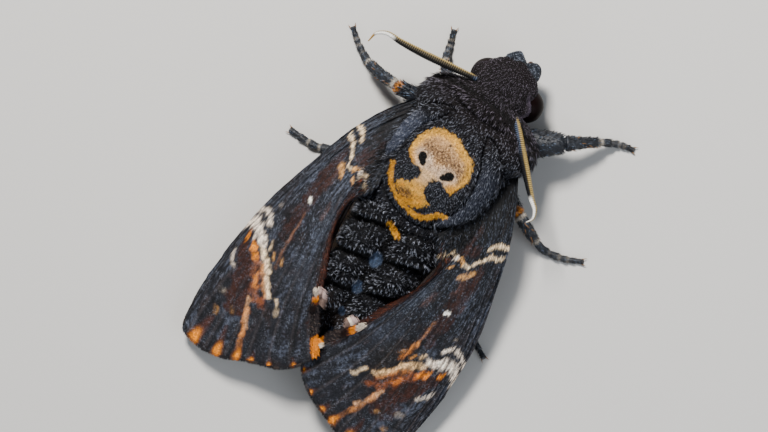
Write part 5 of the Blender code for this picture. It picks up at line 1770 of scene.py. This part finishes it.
def soft_light(name, place, aim, size, power, colour):
    """Square lamp at a place, in metres, turned to its aim."""
    lamp = bpy.data.lights.new(name, "AREA")
    lamp.size, lamp.energy, lamp.color = size, power, colour
    stand = bpy.data.objects.new(name, lamp)
    stand.location = place
    stand.rotation_euler = (Vector(aim) - Vector(place)).to_track_quat("-Z", "Y").to_euler()
    bpy.context.scene.collection.objects.link(stand)


bpy.ops.mesh.primitive_plane_add(size=3.0)
floor = bpy.context.object
floor.name = "floor"
floor_material, _, floor_surface = node_material("pale_floor")
floor_surface.inputs["Base Color"].default_value = (0.62, 0.61, 0.59, 1)
floor_surface.inputs["Roughness"].default_value = 0.9
floor.data.materials.append(floor_material)

world = bpy.data.worlds.new("studio")
bpy.context.scene.world = world
world.use_nodes = True
background = world.node_tree.nodes["Background"]
background.inputs["Color"].default_value = (0.85, 0.9, 1.0, 1)
background.inputs["Strength"].default_value = 0.13

# Tilt and turn of the moth against the camera, then the camera's own distance and lens
TILT_Y, TILT_X, TURN = math.radians(14.3), math.radians(-0.4), math.radians(52.7)
FOCAL_PX, DISTANCE, WIDE, HIGH, SENSOR = 3348.0, 540.0, 768, 432, 36.0
# The point of the moth that the camera's distance is measured to, and where it is seen
SEEN_AT, SEEN_POINT = (433.6, 168.1), np.array([0.0, 0.0, 16.5])
up = unit(np.array([-math.sin(TILT_Y), math.sin(TILT_X) * math.cos(TILT_Y),
                    math.cos(TILT_Y) * math.cos(TILT_X)]))
level_x = unit(np.array([1.0, 0.0, 0.0]) - up * up[0])
level_y = np.cross(up, level_x)
tail = -(math.cos(TURN) * level_x + math.sin(TURN) * level_y)
turned = np.stack([np.cross(tail, up), tail, up], 1)
seen = np.array([(SEEN_AT[0] - WIDE / 2) / FOCAL_PX, (HIGH / 2 - SEEN_AT[1]) / FOCAL_PX, -1.0])
eye_point = turned.T @ (turned @ SEEN_POINT - seen * DISTANCE)
camera_data = bpy.data.cameras.new("camera")
camera_data.lens = FOCAL_PX * SENSOR / WIDE
camera_data.sensor_width = SENSOR
camera_data.clip_start, camera_data.clip_end = 0.01, 10.0
camera = bpy.data.objects.new("camera", camera_data)
placing = Matrix([list(row) for row in turned.T]).to_4x4()
placing.translation = Vector((eye_point - MIDDLE) * MM)
camera.matrix_world = placing
bpy.context.scene.collection.objects.link(camera)
bpy.context.scene.camera = camera

# The key lamp stands past the picture's upper edge, the fill low at its right
picture_up, picture_right = turned.T @ np.array([0.0, 1.0, 0.0]), turned.T @ np.array([1.0, 0.0, 0.0])
towards = turned.T @ np.array([0.0, 0.0, 1.0])
key_at = 0.50 * (0.62 * picture_up - 0.20 * picture_right + 0.76 * towards)
fill_at = 0.45 * (-0.35 * picture_up + 0.60 * picture_right + 0.72 * towards)
soft_light("key", tuple(key_at), (0, 0, 0.005), 0.11, 4.9, (1.0, 0.97, 0.93))
soft_light("fill", tuple(fill_at), (0, 0, 0), 0.30, 0.9, (0.84, 0.91, 1.0))
soft_light("back", (-0.05, 0.42, 0.22), (0, 0, 0), 0.25, 0.6, (0.9, 0.95, 1.0))
